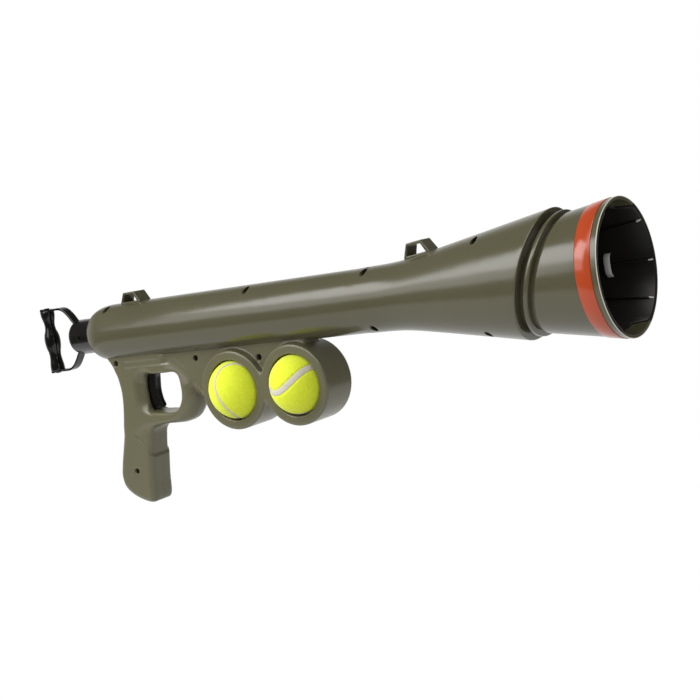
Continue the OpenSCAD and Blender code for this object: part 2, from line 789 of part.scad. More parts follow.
module sear() {
  half = sear_w / 2;
  rear = sear_x - sear_reach - arm_tip_r - 0.5;
  low = sear_top_z - sear_arm_t;
  front = sear_x + sear_fore;
  color(steel) difference() {
    union() {
      slab([[rear, low], [front, sear_z - 2], [front, sear_z + 2], [sear_x, sear_z + 3],
        [nose_rear_x + nose_len + 2, sear_top_z + 2], [nose_rear_x + nose_len, nose_top_z - 2],
        [nose_rear_x + nose_len - 1.5, nose_top_z], [nose_rear_x, nose_top_z],
        [nose_rear_x, sear_top_z], [rear, sear_top_z]], half);
      across(sear_x, sear_z, -half, half, sear_hub_r);
    }
    across(sear_x, sear_z, -half - 1, half + 1, sear_pin_r + run_gap);
  }
}

// Tube swept round a helix: mean radius, wire radius, length, turns and rings in a turn
function helix_ring(r, w, len, turns, i, n, sides) =
  let (a = 360 * i / n, c = [r * cos(a), r * sin(a), w + (len - 2 * w) * i / (n * turns)])
  [for (k = [0:sides - 1]) let (b = 360 * k / sides)
    [c[0] + w * cos(b) * cos(a), c[1] + w * cos(b) * sin(a), c[2] + w * sin(b)]];

module coil(r, w, len, turns) {
  n = 8;
  sides = 6;
  rings = n * turns;
  points = [for (i = [0:rings]) each helix_ring(r, w, len, turns, i, n, sides)];
  walls = [for (i = [0:rings - 1]) for (k = [0:sides - 1])
    let (a = i * sides + k, b = i * sides + (k + 1) % sides, c = a + sides, d = b + sides)
    each [[a, c, b], [b, c, d]]];
  ends = [[for (k = [0:sides - 1]) k], [for (k = [sides - 1:-1:0]) rings * sides + k]];
  polyhedron(points, concat(walls, ends), convexity = 10);
}

module main_spring() {
  x0 = seat_front_x + seat_gap;
  x1 = push_rear_x - move_gap * 0.75;
  echo(main_spring_gap = (x1 - x0 - 2 * spring_wire_r) / spring_turns - 2 * spring_wire_r);
  color(steel) translate([x0, 0, 0]) rotate([0, 90, 0])
    coil(spring_r, spring_wire_r, x1 - x0, spring_turns);
}

// Small spring over the sear's front arm
sear_spring_r = 2.4;
sear_spring_wire_r = 0.35;
sear_spring_turns = 4;

module sear_spring() {
  low = sear_z + 2 + seat_gap;
  high = -tube_r - 0.5;
  pitch = (high - low - 2 * sear_spring_wire_r) / sear_spring_turns;
  echo(sear_spring_gap = pitch - 2 * sear_spring_wire_r);
  color(steel) translate([sear_x + sear_fore - 4, 0, low])
    coil(sear_spring_r, sear_spring_wire_r, high - low, sear_spring_turns);
}

module pull_tube() {
  color(black) difference() {
    ring(tube_rear_x, tube_front_x, pull_bore, pull_r);
    across(plug_screw_x, 0, -pull_r - 1, pull_r + 1, plug_screw_r + seat_gap);
    rivet_holes(rivet_r + seat_gap);
  }
}

module rivet_holes(r) {
  translate([rivet_x, 0, -pull_r - 10]) cylinder(h = 2 * pull_r + 20, r = r);
}

module tube_plug() {
  color(black) difference() {
    union() {
      rod_along(tube_rear_x - plug_cap, tube_rear_x - seat_gap, pull_r - 1);
      rod_along(tube_rear_x - 1, tube_rear_x + plug_len, pull_bore - seat_gap);
    }
    across(plug_screw_x, 0, -pull_r, pull_r, plug_screw_r + seat_gap);
    rivet_holes(rivet_r + seat_gap);
    for (s = [0, 180]) rotate([s, 0, 0])
      box([tube_rear_x - plug_cap - 1, -strap_w / 2 - seat_gap, strap_z - strap_t / 2 - seat_gap],
        [tube_rear_x + strap_lap + seat_gap, strap_w / 2 + seat_gap, pull_r + 1]);
  }
}

module plug_screws() {
  color(steel) for (s = [0, 180])
    rotate([s, 0, 0]) across(plug_screw_x, 0, 6, pull_r - 1.6, plug_screw_r);
}

// Path of the upper strap, from the pull tube to the end of the bar
strap_z = sqrt(pull_bore * pull_bore - strap_w * strap_w / 4) - seat_gap - strap_t / 2;
bar_top_z = bar_len / 2 + seat_gap + strap_t / 2;
strap_path = concat(
  [[tube_rear_x + strap_lap, strap_z]],
  open_curve([[tube_rear_x - 2, strap_z], [tube_rear_x - 6, strap_z + 3.6],
    [tube_rear_x - 12, strap_z + 11.2], [tube_rear_x - 18.5, bar_top_z - 3.6],
    [tube_rear_x - 25, bar_top_z - 0.5], [tube_rear_x - 32, bar_top_z]], 4),
  [[handle_x - bar_end_r, bar_top_z]]);

module handle_arms() {
  color(black) for (s = [0, 180]) rotate([s, 0, 0]) difference() {
    slab(strip(strap_path, strap_t), strap_w / 2);
    translate([rivet_x, 0, 0]) cylinder(h = strap_z + 10, r = rivet_r + seat_gap);
    translate([handle_x, 0, 0]) cylinder(h = bar_top_z + 10, r = rivet_r + seat_gap);
  }
}

module handle_grip() {
  half = bar_len / 2;
  outline = open_curve([[bar_end_r, -half], [bar_end_r, -half * 0.8], [bar_neck_r, -half * 0.5],
    [bar_mid_r, 0], [bar_neck_r, half * 0.5], [bar_end_r, half * 0.8], [bar_end_r, half]], 4);
  color(black) translate([handle_x, 0, 0]) difference() {
    rotate_extrude() polygon(concat([[0, -half]], outline, [[0, half]]));
    for (s = [0, 180]) rotate([s, 0, 0])
      translate([0, 0, half - 14]) cylinder(h = 20, r = rivet_r + seat_gap);
  }
}

module handle_screws() {
  head_z = bar_top_z + strap_t / 2 + seat_gap;
  color(steel) for (s = [0, 180]) rotate([s, 0, 0]) translate([handle_x, 0, 0]) {
    translate([0, 0, head_z]) cylinder(h = rivet_head_h, r = rivet_head_r);
    translate([0, 0, bar_len / 2 - 13]) cylinder(h = head_z - bar_len / 2 + 13.5, r = rivet_r);
  }
}

module arm_rivets() {
  color(steel) for (s = [0, 180]) rotate([s, 0, 0])
    translate([rivet_x, 0, 6]) cylinder(h = pull_r - 6.2, r = rivet_r);
}

nut_t = 6;
nut_r = 9;

module rod_coupler() {
  color(black) ring(tube_front_x - coupler_len, tube_front_x, rod_r + seat_gap, pull_bore - seat_gap);
}

module rod_nut() {
  x1 = tube_front_x - coupler_len - seat_gap;
  color(steel) translate([x1 - nut_t, 0, 0]) rotate([0, 90, 0]) difference() {
    cylinder(h = nut_t, r = nut_r, $fn = 6);
    translate([0, 0, -1]) cylinder(h = nut_t + 2, r = rod_r + seat_gap);
  }
}

rod_rear_x = tube_front_x - coupler_len - nut_t - 4;
rod_front_x = cup_front_x - pad_t - 9;

module plunger_rod() {
  color(steel) rod_along(rod_rear_x, rod_front_x, rod_r);
}

module spring_collar() {
  color(black) ring(push_rear_x, push_front_x, rod_r + seat_gap, push_collar_r);
}

module pusher_cup() {
  floor_x = rod_front_x + 3;
  color(black) lathe([
    [cup_rear_x, rod_r + seat_gap], [rod_front_x + seat_gap, rod_r + seat_gap],
    [rod_front_x + seat_gap, 0], [floor_x, 0], [floor_x, cup_r - 4], [cup_front_x, cup_r - 1.5],
    [cup_front_x - 2, cup_r],
    [cup_rear_x + 8, cup_r], [cup_rear_x, cup_r - 8]]);
}

module pusher_pad() {
  floor_x = rod_front_x + 3;
  color(black) rod_along(floor_x + seat_gap, floor_x + pad_t, cup_r - 4 - seat_gap);
}

module ball_skin(x, outer, inner) {
  translate([x, -ball_out, holder_z]) difference() {
    sphere(r = outer, $fn = 64);
    sphere(r = inner, $fn = 64);
  }
}

module felt(x) {
  color(felt_yellow) ball_skin(x, ball_r, ball_r - felt_t);
}

module core(x) {
  color(black) ball_skin(x, ball_r - felt_t - seat_gap, ball_r - felt_t - core_t);
}

module rear_core() { core(rear_holder_x); }
module rear_felt() { felt(rear_holder_x); }
module front_core() { core(front_holder_x); }
module front_felt() { felt(front_holder_x); }

right_shell();
left_shell();
muzzle_cone();
muzzle_band();
muzzle_liner();
liner_clips();
ball_chamber();
front_guide();
buffer_ring();
spring_seat();
rear_bush();
shell_screws();
trigger_pin();
sear_pin();
main_spring();
sear_spring();
trigger();
sear();
pull_tube();
tube_plug();
plug_screws();
handle_arms();
handle_grip();
handle_screws();
arm_rivets();
rod_coupler();
rod_nut();
plunger_rod();
spring_collar();
pusher_cup();
pusher_pad();
rear_core();
rear_felt();
front_core();
front_felt();
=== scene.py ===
# %% [markdown]
# # Dressing a dog ball thrower
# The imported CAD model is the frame: it says where every piece sits and how it moves. This lesson
# puts the moulded plastic, the felt, the coils and the studio light on that frame. Everything is
# worked out in millimetres, as the drawing is, and scaled once when a mesh is made. X runs along the
# barrel and is 0 at the muzzle's rim, Z is up, and the camera stands on the minus Y side.

# %% Load the frame
import math

import bpy
import numpy as np
from mathutils import Matrix, Vector


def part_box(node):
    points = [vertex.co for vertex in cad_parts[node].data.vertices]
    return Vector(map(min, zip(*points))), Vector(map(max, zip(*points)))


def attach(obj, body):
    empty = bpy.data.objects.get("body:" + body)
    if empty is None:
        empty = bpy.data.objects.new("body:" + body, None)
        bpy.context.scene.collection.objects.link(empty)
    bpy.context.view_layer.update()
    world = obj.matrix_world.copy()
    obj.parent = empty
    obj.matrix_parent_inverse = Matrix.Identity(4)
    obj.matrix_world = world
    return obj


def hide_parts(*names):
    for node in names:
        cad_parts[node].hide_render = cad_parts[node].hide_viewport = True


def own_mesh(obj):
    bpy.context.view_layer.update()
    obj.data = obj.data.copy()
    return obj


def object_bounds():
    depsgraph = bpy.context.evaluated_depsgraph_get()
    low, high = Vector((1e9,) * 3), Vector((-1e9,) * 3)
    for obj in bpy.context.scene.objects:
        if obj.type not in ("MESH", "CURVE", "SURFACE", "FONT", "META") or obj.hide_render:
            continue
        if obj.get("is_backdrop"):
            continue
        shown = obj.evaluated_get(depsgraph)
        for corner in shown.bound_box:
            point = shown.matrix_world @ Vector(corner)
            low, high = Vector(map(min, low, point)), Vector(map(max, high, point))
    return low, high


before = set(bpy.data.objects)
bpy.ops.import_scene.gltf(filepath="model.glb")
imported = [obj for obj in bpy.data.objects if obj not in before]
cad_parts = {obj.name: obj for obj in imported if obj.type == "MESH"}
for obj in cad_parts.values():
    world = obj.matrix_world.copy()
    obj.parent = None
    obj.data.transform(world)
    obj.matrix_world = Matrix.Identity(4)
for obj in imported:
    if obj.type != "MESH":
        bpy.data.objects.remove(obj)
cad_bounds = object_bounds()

MM = 0.001

# %% [markdown]
# ## Camera
# The photograph was taken from the right and a little above, with the camera rolled so that the
# barrel climbs to the right. A camera is only a matrix: three rows say which way is right, up and
# back, and the lens follows from the focal length in pixels of a 700 pixel frame. Rolling the camera
# is better than tilting the part, because the part has to stay in the CAD frame.

# %% Camera
RIGHT = Vector((0.8023, 0.5723, -0.1696))
UP = Vector((0.0818, 0.1761, 0.9809))
BACK = Vector((0.5912, -0.8009, 0.0945))
FOCAL_PIXELS, FRAME_PIXELS, SENSOR = 1334.85, 700, 36
SHIFT_RIGHT, SHIFT_UP, DISTANCE = -83.5, -56.13, 1279.05
TURNED_ABOUT = Vector((-197.81, 0, 0))
camera_data = bpy.data.cameras.new("camera")
camera_data.sensor_width = SENSOR
camera_data.lens = FOCAL_PIXELS / FRAME_PIXELS * SENSOR
camera = bpy.data.objects.new("camera", camera_data)
bpy.context.collection.objects.link(camera)
camera_turn = Matrix((RIGHT, UP, BACK)).transposed().to_4x4()
camera_place = RIGHT * SHIFT_RIGHT + UP * SHIFT_UP + BACK * DISTANCE + TURNED_ABOUT
camera.matrix_world = Matrix.Translation(camera_place * MM) @ camera_turn
bpy.context.scene.camera = camera
print("camera at", [round(v) for v in camera_place], "mm, lens", round(camera_data.lens, 1), "mm")

# %% [markdown]
# ## Writing shaders as sums
# A node tree is easier to read as a line of arithmetic. `Value` wraps one socket, and each operator
# on it adds a Math node. `Finish` adds any other node from its type, its settings and what goes into
# its sockets. Both only save typing: the tree is the same as one made by hand.

# %% Shader arithmetic
class Value:
    """A socket that Python's operators work on."""

    def __init__(self, finish, socket):
        self.finish, self.socket = finish, socket

    def math(self, operation, *operands):
        return self.finish.node("ShaderNodeMath", {"operation": operation}, dict(enumerate(operands)))

    def __add__(self, other):
        return self.math("ADD", self, other)

    def __sub__(self, other):
        return self.math("SUBTRACT", self, other)

    def __rsub__(self, other):
        return self.math("SUBTRACT", other, self)

    def __mul__(self, other):
        return self.math("MULTIPLY", self, other)

    __radd__, __rmul__ = __add__, __mul__


class Finish:
    """The node tree of a material or of the world."""

    def __init__(self, owner):
        owner.use_nodes = True
        self.tree = owner.node_tree

    def node(self, kind, settings=None, sockets=None, output=0):
        node = self.tree.nodes.new(kind)
        for name, value in (settings or {}).items():
            setattr(node, name, value)
        self.feed(node, sockets or {})
        return Value(self, node.outputs[output])

    def feed(self, node, sockets):
        for name, value in sockets.items():
            if isinstance(value, Value):
                self.tree.links.new(value.socket, node.inputs[name])
            else:
                node.inputs[name].default_value = value

    def noise(self, scale, detail=2.0):
        """Noise in the object's own coordinates; scale is its waves to a metre."""
        where = self.node("ShaderNodeTexCoord", output="Object")
        sockets = {"Vector": where, "Scale": scale, "Detail": detail}
        return self.node("ShaderNodeTexNoise", None, sockets)

    def blend(self, factor, first, second):
        sockets = {0: factor, 6: first, 7: second}
        return self.node("ShaderNodeMix", {"data_type": "RGBA"}, sockets, output=2)


def paint(red, green, blue):
    """A screen colour, 0 to 255, as the linear colour that a shader takes."""
    linear = []
    for level in (red, green, blue):
        share = level / 255
        linear.append(share / 12.92 if level < 11 else ((share + 0.055) / 1.055) ** 2.4)
    return (*linear, 1.0)


print("olive is", [round(c, 3) for c in paint(104, 101, 78)])

# %% [markdown]
# ## Plastics
# The casing is olive polypropylene, moulded with a satin skin: broad soft highlights, and a very fine
# unevenness that shows only where a light glances off. Such a skin could be painted as an image, but
# noise in the object's own coordinates needs no unwrapping and never shows a seam. One function
# serves all plastics: two near colours, a roughness that wavers, a fine grain and a long swell. The
# swell is what a mould leaves where the wall shrinks: it bends a highlight a little.

# %% Plastic finishes
CLOUD_SCALE, GRAIN_SCALE, SWELL_SCALE = 14.0, 1500.0, 22.0


def plastic(name, dark, light, roughness, waver, grain, swell=0.0, shine=0.5):
    """A plastic between two colours; grain and swell are heights in millimetres."""
    material = bpy.data.materials.new(name)
    finish = Finish(material)
    cloud = finish.noise(CLOUD_SCALE)
    height = finish.noise(GRAIN_SCALE) * (grain * MM) + finish.noise(SWELL_SCALE) * (swell * MM)
    bump = {"Strength": 1.0, "Distance": 1.0, "Height": height}
    finish.feed(finish.tree.nodes["Principled BSDF"], {
        "Base Color": finish.blend(cloud, paint(*dark), paint(*light)),
        "Roughness": cloud * waver + (roughness - waver / 2),
        "Specular IOR Level": shine,
        "Normal": finish.node("ShaderNodeBump", None, bump),
    })
    return material


olive = plastic("olive_plastic", (80, 77, 56), (86, 83, 62), 0.21, 0.06, 0.006, 0.5)
# The stock's olive is lighter than the barrel's as painted light for its brighter flat sides; its rougher
# satin is its own.
olive_satin_and_painted_light = plastic("olive_satin_and_painted_light", (101, 98, 73), (107, 104, 79), 0.28, 0.06, 0.01, 0.3)
# A pale colour that paints the highlight on the mouth's rim.
painted_rim_highlight = plastic("painted_rim_highlight", (214, 210, 190), (226, 222, 204), 0.3, 0.06, 0.006)
black = plastic("black_plastic", (11, 10, 8), (15, 13, 11), 0.17, 0.05, 0.005)
liner_black = plastic("liner_black", (27, 26, 23), (32, 30, 27), 0.36, 0.06, 0.006, shine=0.2)
orange = plastic("orange_plastic", (170, 63, 24), (176, 69, 30), 0.16, 0.04, 0.004, 0.3)
# Pale is the clips' own colour; on the rib tips it is a painted highlight.
pale_clips_and_tip_highlight = plastic("pale_plastic", (200, 199, 194), (214, 213, 208), 0.3, 0.06, 0.006)
rubber = plastic("rubber", (40, 38, 36), (52, 50, 48), 0.75, 0.1, 0.03)
plastics = (olive, olive_satin_and_painted_light, painted_rim_highlight, black, liner_black, orange, pale_clips_and_tip_highlight, rubber)
print("plastics:", ", ".join(material.name for material in plastics))

# %% [markdown]
# ## Steel
# Springs and the plunger's rod are plain zinc-plated steel, and the screws are blackened. Metal has
# no colour of its own apart from its reflection, so the noise goes into the roughness too, where
# handling leaves cloudy patches.

# %% Steel finishes
HANDLING_SCALE, HANDLING_DETAIL = 160.0, 4.0


def metal(name, dull, bright, roughness, waver=0.2):
    material = bpy.data.materials.new(name)
    finish = Finish(material)
    handling = finish.noise(HANDLING_SCALE, HANDLING_DETAIL)
    finish.feed(finish.tree.nodes["Principled BSDF"], {
        "Base Color": finish.blend(handling, paint(*dull), paint(*bright)),
        "Metallic": 1.0,
        "Roughness": handling * waver + (roughness - waver / 2),
    })
    return material


steel = metal("steel", (150, 150, 148), (186, 186, 184), 0.35)
black_steel = metal("black_steel", (20, 19, 18), (30, 29, 28), 0.5)
print("metals:", steel.name, black_steel.name)

# %% [markdown]
# ## Felt and seam
# A ball's nap is short wool-like fibre, dyed a yellow that leans to green. It has no highlight: it is
# bright all over and pales at its rim, which is what the sheen of the shader is for. Two sizes of
# noise give the clumps of fibre and the single fibres. The seam is bare, pale rubber.

# %% Felt finishes
CLUMP_SCALE, CLUMP_DETAIL, FIBRE_SCALE = 260.0, 3.0, 2400.0
NAP_HEIGHT = 0.4


def felt(name, deep, bright):
    material = bpy.data.materials.new(name)
    finish = Finish(material)
    clump, fibre = finish.noise(CLUMP_SCALE, CLUMP_DETAIL), finish.noise(FIBRE_SCALE)
    height = clump * 0.6 + fibre * 0.4
    bump = {"Strength": 0.7, "Distance": NAP_HEIGHT * MM, "Height": height}
    finish.feed(finish.tree.nodes["Principled BSDF"], {
        "Base Color": finish.blend(height * 1.6 - 0.3, paint(*deep), paint(*bright)),
        "Roughness": 1.0,
        "Sheen Weight": 0.25,
        "Sheen Roughness": 0.4,
        "Specular IOR Level": 0.1,
        "Normal": finish.node("ShaderNodeBump", None, bump),
    })
    return material


nap = felt("ball_felt", (216, 233, 38), (247, 254, 82))
seam_rubber = plastic("seam_rubber", (206, 198, 182), (220, 213, 198), 0.7, 0.1, 0.5)
print("felt:", nap.name, "seam:", seam_rubber.name)

# %% [markdown]
# ## Rings and skins
# Most of the thrower is turned: tube, flare, cone and band are circles of changing size. So a piece
# is written as a list of rings, and `skin` joins each ring to the next with four-sided faces. A closed
# list, out along the outside and back along the inside, gives a wall with real thickness, which a
# boolean can cut.

# %% Meshes from rings
def smooth(piece, crease):
    """Smooth shading, except where faces meet at more than crease degrees."""
    piece.data.shade_smooth()
    piece.data.set_sharp_from_angle(angle=math.radians(crease))


def add_piece(name, points, faces, finish, crease=32):
    """An object from points in millimetres."""
    mesh = bpy.data.meshes.new(name)
    mesh.from_pydata((np.asarray(points, float) * MM).tolist(), [], faces)
    piece = bpy.data.objects.new(name, mesh)
    bpy.context.collection.objects.link(piece)
    mesh.materials.append(finish)
    smooth(piece, crease)
    return piece


def skin(rings, closed=True):
    """Points and faces through rings of equal length; an open list gets a face at each end."""
    count, points = len(rings[0]), np.concatenate(rings)
    faces = []
    for a in range(len(rings) if closed else len(rings) - 1):
        b = (a + 1) % len(rings)
        for i in range(count):
            j = (i + 1) % count
            faces.append((a * count + i, a * count + j, b * count + j, b * count + i))
    if not closed:
        faces.append(tuple(reversed(range(count))))
        faces.append(tuple(range(len(points) - count, len(points))))
    return points, faces


RING_STEPS = 128


def circle(steps=RING_STEPS):
    """Cosines and sines of equal steps round a circle."""
    angle = np.arange(steps) * 2 * math.pi / steps
    return np.cos(angle), np.sin(angle)


def ring(x, radius, steps=RING_STEPS):
    """A circle round the barrel's axis."""
    cosines, sines = circle(steps)
    return np.column_stack([np.full(steps, x), radius * cosines, radius * sines])


def dress(piece, body, slot, *nodes):
    """Puts a finished piece on its body, in place of its CAD nodes."""
    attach(piece, body)
    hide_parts(*nodes)
    print(piece.name, "has", len(piece.data.polygons), "faces and stands for", ", ".join(nodes))


can_points, can_faces = skin([ring(x, 1.0, 8) for x in (0, 1, 2)], closed=False)
print("three rings of 8 points make", len(can_points), "points and", len(can_faces), "faces")

# %% [markdown]
# ## A collar that leans
# The joint between the flare and the front cone doesn't lie square to the barrel: its plane leans,
# with the top forward. A leaning ring is still on the turned surface, so each point is found by
# repeating: take the radius at X, which gives the height Z, which moves X, and so on. Six rounds
# settle it, because the flare is shallow. The flare itself is one branch of a hyperbola: straight
# behind, a cone in front, and a soft bend between them.

# %% Leaning rings
LEAN = math.tan(math.radians(17.5))
LEAN_ROUNDS = 6


def leaning_ring(x, radius, share=1.0):
    """A ring on the surface radius(X), in a plane that leans by a share of the collar's lean."""
    cosines, sines = circle()
    along = np.full(RING_STEPS, float(x))
    for _ in range(LEAN_ROUNDS):
        along = x + share * LEAN * radius(along) * sines
    size = radius(along)
    return np.column_stack([along, size * cosines, size * sines])


TUBE_R, BEND_X, BEND, FLARE_SLOPE = 32.5, -236.5, 18, 0.168224
CONE_LENGTH, CONE_BACK_R, CONE_GROWTH = 68, 52.6, 10.1
BEAD_X = -82.5


def flare_radius(x):
    u = np.asarray(x, float) - BEND_X
    return TUBE_R + FLARE_SLOPE * (u + np.sqrt(u * u + BEND**2)) / 2


def cone_radius(x):
    return CONE_BACK_R + CONE_GROWTH * (np.asarray(x, float) + CONE_LENGTH) / CONE_LENGTH


print("at the bead the flare's radius is", round(float(flare_radius(BEAD_X)), 1), "mm,",
      "the cone's", round(float(cone_radius(BEAD_X)), 1), "mm")

# %% [markdown]
# ## Barrel and flare
# The barrel runs from a domed rear end through a straight tube into the flare, and ends in a bead: a
# crest, a shoulder that falls away, and a face towards the collar. The rings are close together so
# that the screw wells, which are cut later, disturb the shading only next to them.

# %% Barrel and flare
WALL, COLLAR_DEPTH = 2.5, 2.1
REAR_X, DOME, MOUTH_R = -661.0, 30.0, 22.51
TUBE_START, TUBE_END, FLARE_START = -625, -282, -277
DOME_RINGS, TUBE_RINGS, FLARE_RINGS = 13, 58, 42
LEAN_START, LEAN_RUN = -190, 90
BEAD = ((0.5, 0.05), (0.9, 0.3), (1.2, 0.7), (1.4, 1.2), (1.5, 2.0), (1.6, 5.0))
INSIDE_BEAD, INSIDE_COLLAR = (1.7, -1.0), (-104.0, -108.0)
INSIDE_FLARE = (-113.0, -160.0, -220.0, -260.0)
INSIDE_TUBE = (-285.0, -400.0, -520.0, -632.0)
INSIDE_DOME = ((-652.0, 26.5), (-657.0, MOUTH_R))


def ramp(value, width):
    """A soft step from 0 to 1 while value goes from 0 to width."""
    s = np.clip(value / width, 0, 1)
    return s * s * (3 - 2 * s)


outside = []
for a in np.radians(np.linspace(0, 90, DOME_RINGS)):
    radius = MOUTH_R + (TUBE_R - MOUTH_R) * math.sin(a)
    outside.append(ring(REAR_X + DOME * (1 - math.cos(a)), radius))
for x in np.linspace(TUBE_START, TUBE_END, TUBE_RINGS):
    outside.append(ring(x, TUBE_R))
for x in np.linspace(FLARE_START, BEAD_X, FLARE_RINGS):
    outside.append(leaning_ring(x, flare_radius, ramp(x - LEAN_START, LEAN_RUN)))
for step, drop in BEAD:
    outside.append(leaning_ring(BEAD_X + step, lambda x, d=drop: flare_radius(x) - d))
inside = [leaning_ring(BEAD_X + step, lambda x: cone_radius(x) - COLLAR_DEPTH) for step in INSIDE_BEAD]
inside += [ring(x, cone_radius(x) - COLLAR_DEPTH) for x in INSIDE_COLLAR]
inside += [ring(x, flare_radius(x) - WALL) for x in INSIDE_FLARE]
inside += [ring(x, TUBE_R - WALL) for x in INSIDE_TUBE]
inside += [ring(x, radius) for x, radius in INSIDE_DOME]
barrel = add_piece("casing", *skin(outside + inside), olive)
print("barrel:", len(barrel.data.polygons), "faces")

# %% [markdown]
# ## Distance fields for the moulded body
# The grip, guard, web and ball holders flow into each other with small fillets. Bevelling such a
# union is fragile. A distance field is not: every form is a function that gives the distance to its
# surface, the smaller of two distances is a union, and a smooth smaller-of is a union with a fillet.
# The mesh is then pulled out of a grid of those distances.

# %% Distance field helpers
FAR, TINY = 1e9, 1e-9


def outline_distance(corners, x, z):
    """Distance to a closed outline in the XZ plane, negative inside it."""
    shape = np.broadcast(x, z).shape
    best, within = np.full(shape, FAR), np.zeros(shape, bool)
    for (ax, az), (bx, bz) in zip(corners, np.roll(corners, -1, axis=0)):
        ex, ez = bx - ax, bz - az
        t = np.clip(((x - ax) * ex + (z - az) * ez) / (ex * ex + ez * ez), 0, 1)
        best = np.minimum(best, (x - ax - t * ex) ** 2 + (z - az - t * ez) ** 2)
        crosses = (az > z) != (bz > z)
        within ^= crosses & (x < ax + ex * (z - az) / (ez if ez else TINY))
    return np.where(within, -1, 1) * np.sqrt(best)


def joined(a, b, fillet):
    """Union of two fields, with a fillet."""
    h = np.clip(fillet - np.abs(a - b), 0, None) / fillet
    return np.minimum(a, b) - h * h * fillet / 4


def cut(a, b, edge):
    """Field a without field b, with a rounded edge."""
    return -joined(-a, b, edge)


def slab(flat, across, half, edge):
    """A plate: its outline's distance, its half thickness and the radius of its edges."""
    a, b = flat + edge, np.abs(across) - half + edge
    return np.hypot(np.maximum(a, 0), np.maximum(b, 0)) + np.minimum(np.maximum(a, b), 0) - edge


def curve(corners, steps=6):
    """A closed Catmull-Rom curve, which passes through all its corners."""
    p = np.asarray(corners, float)
    before, after, beyond = np.roll(p, 1, 0), np.roll(p, -1, 0), np.roll(p, -2, 0)
    t = np.linspace(0, 1, steps, endpoint=False)[None, :, None]
    a, b, c, d = before[:, None], p[:, None], after[:, None], beyond[:, None]
    bent = 2 * b + (c - a) * t + (2 * a - 5 * b + 4 * c - d) * t**2 + (3 * b - a - 3 * c + d) * t**3
    return (bent / 2).reshape(-1, 2)


pebble, middle = curve([[1, 0], [0, 1], [-1, 0], [0, -1]], 24), np.zeros(1)
print("four corners make a pebble; its middle reads", outline_distance(pebble, middle, middle).round(2))

# %% [markdown]
# ## From field to faces
# A surface net puts one vertex in every grid cell that the surface passes through, at the mean of the
# places where it crosses the cell's edges, and one four-sided face round every crossed edge. The mesh
# is closed by construction, and even, which is kind to smooth shading.

# %% Surface net
def surface_net(field, origin, pitch):
    """Points and faces of the zero level of a field on a grid."""
    cells = np.array(field.shape) - 1
    total = np.zeros((4, int(np.prod(cells))))
    crossings = []
    for axis in range(3):
        low = np.moveaxis(field, axis, 0)[:-1]
        high = np.moveaxis(field, axis, 0)[1:]
        at = np.argwhere((low < 0) != (high < 0))
        a, b = low[tuple(at.T)], high[tuple(at.T)]
        at = np.insert(at[:, 1:], axis, at[:, 0], axis=1)
        where = at.astype(float)
        where[:, axis] += a / (a - b)
        others = [k for k in range(3) if k != axis]
        around = []
        for u, v in ((-1, -1), (0, -1), (0, 0), (-1, 0)):
            cell = at.copy()
            cell[:, others[0]] += u
            cell[:, others[1]] += v
            index = np.ravel_multi_index(tuple(cell.T), tuple(cells))
            around.append(index)
            for k in range(3):
                total[k] += np.bincount(index, where[:, k], len(total[k]))
            total[3] += np.bincount(index, minlength=len(total[3]))
        quads = np.column_stack(around)
        flip = (a < 0) != (axis == 1)
        crossings.append(np.where(flip[:, None], quads, quads[:, ::-1]))
    used = np.flatnonzero(total[3])
    number = np.zeros(len(total[3]), int)
    number[used] = np.arange(len(used))
    points = (total[:3, used] / total[3, used]).T * pitch + origin
    return points, number[np.concatenate(crossings)].tolist()


def grid(low, high, pitch):
    """Coordinates of a grid between two corners, ready to broadcast."""
    x, y, z = (np.arange(a, b + pitch, pitch) for a, b in zip(low, high))
    return x[:, None, None], y[None, :, None], z[None, None, :]


x, y, z = grid((-6, -6, -6), (6, 6, 6), 1.0)
marble_points, marble_faces = surface_net(np.sqrt(x * x + y * y + z * z) - 5, (-6, -6, -6), 1.0)
marble_radius = np.linalg.norm(marble_points, axis=1).mean()
print("a marble of 5 mm comes out with", len(marble_faces), "faces, radius", marble_radius.round(2), "mm")

# %% [markdown]
# ## Outlines of grip, guard and web
# Seen from the side, the handle end is three outlines: the pistol grip with the bow that guards the
# trigger, the opening for the finger, and the web that carries the ball holders. Each outline has
# only the corners that its shape needs; the first two are smoothed by the curve.

# %% Outlines of grip, guard and web
STOCK_X = -664.0
HOLDERS, HOLDER_Z = (-374.5, -458.5), -75.5
GRIP = curve(np.array([
    [24, -20], [26, -39.5], [30.5, -53], [31.5, -75], [24, -110], [9.5, -152], [6.4, -167], [9.5, -180],
    [21, -190], [36, -196.5], [48, -198.5], [54.5, -193.5], [57.5, -172], [62.5, -146], [66, -128],
    [70, -116], [80, -110.5], [95, -108.5], [106, -109], [118, -109], [130, -103.5], [139.5, -92],
    [146, -76], [150, -62], [137, -49], [118, -33], [110, -20]]) + [STOCK_X, 0], 4)
GUARD = curve(np.array([
    [67.5, -60], [71, -51.8], [84, -50.4], [104, -50.4], [117, -50.6], [123.6, -56], [126, -68],
    [124, -81], [118, -90], [111, -94.5], [98, -95.5], [84, -94.6], [71, -93], [67, -85],
    [66.5, -72]]) + [STOCK_X, 0], 5)
WEB = np.array([
    [-634, -20.5], [-358.5, -20.5], [-358.5, -55.5], [HOLDERS[0], HOLDER_Z], [HOLDERS[1], HOLDER_Z],
    [-499.5, -85.5], [-514, -85.5], [-544, -50], [-634, -45]], float)
print("outline points:", len(GRIP), "for the grip,", len(GUARD), "for the guard,", len(WEB), "for the web")

# %% [markdown]
# ## Grip and web as plates
# The outlines become plates of different thickness. The grip is 34 mm wide and has a groove for the
# fingers: in front of a slanting line its surface lies a little deeper, with a sharp step at the line
# and a fade towards the top. That groove is a change of the plate's own outline and thickness, so it
# runs round the front edge as it does on the real grip. A sunk strip lies under the barrel. Edges are
# crisp at the web, softer low on the grip and nearly round on the bow of the guard. The second number
# of each ramp is the run, in millimetres, over which one form passes into the next.

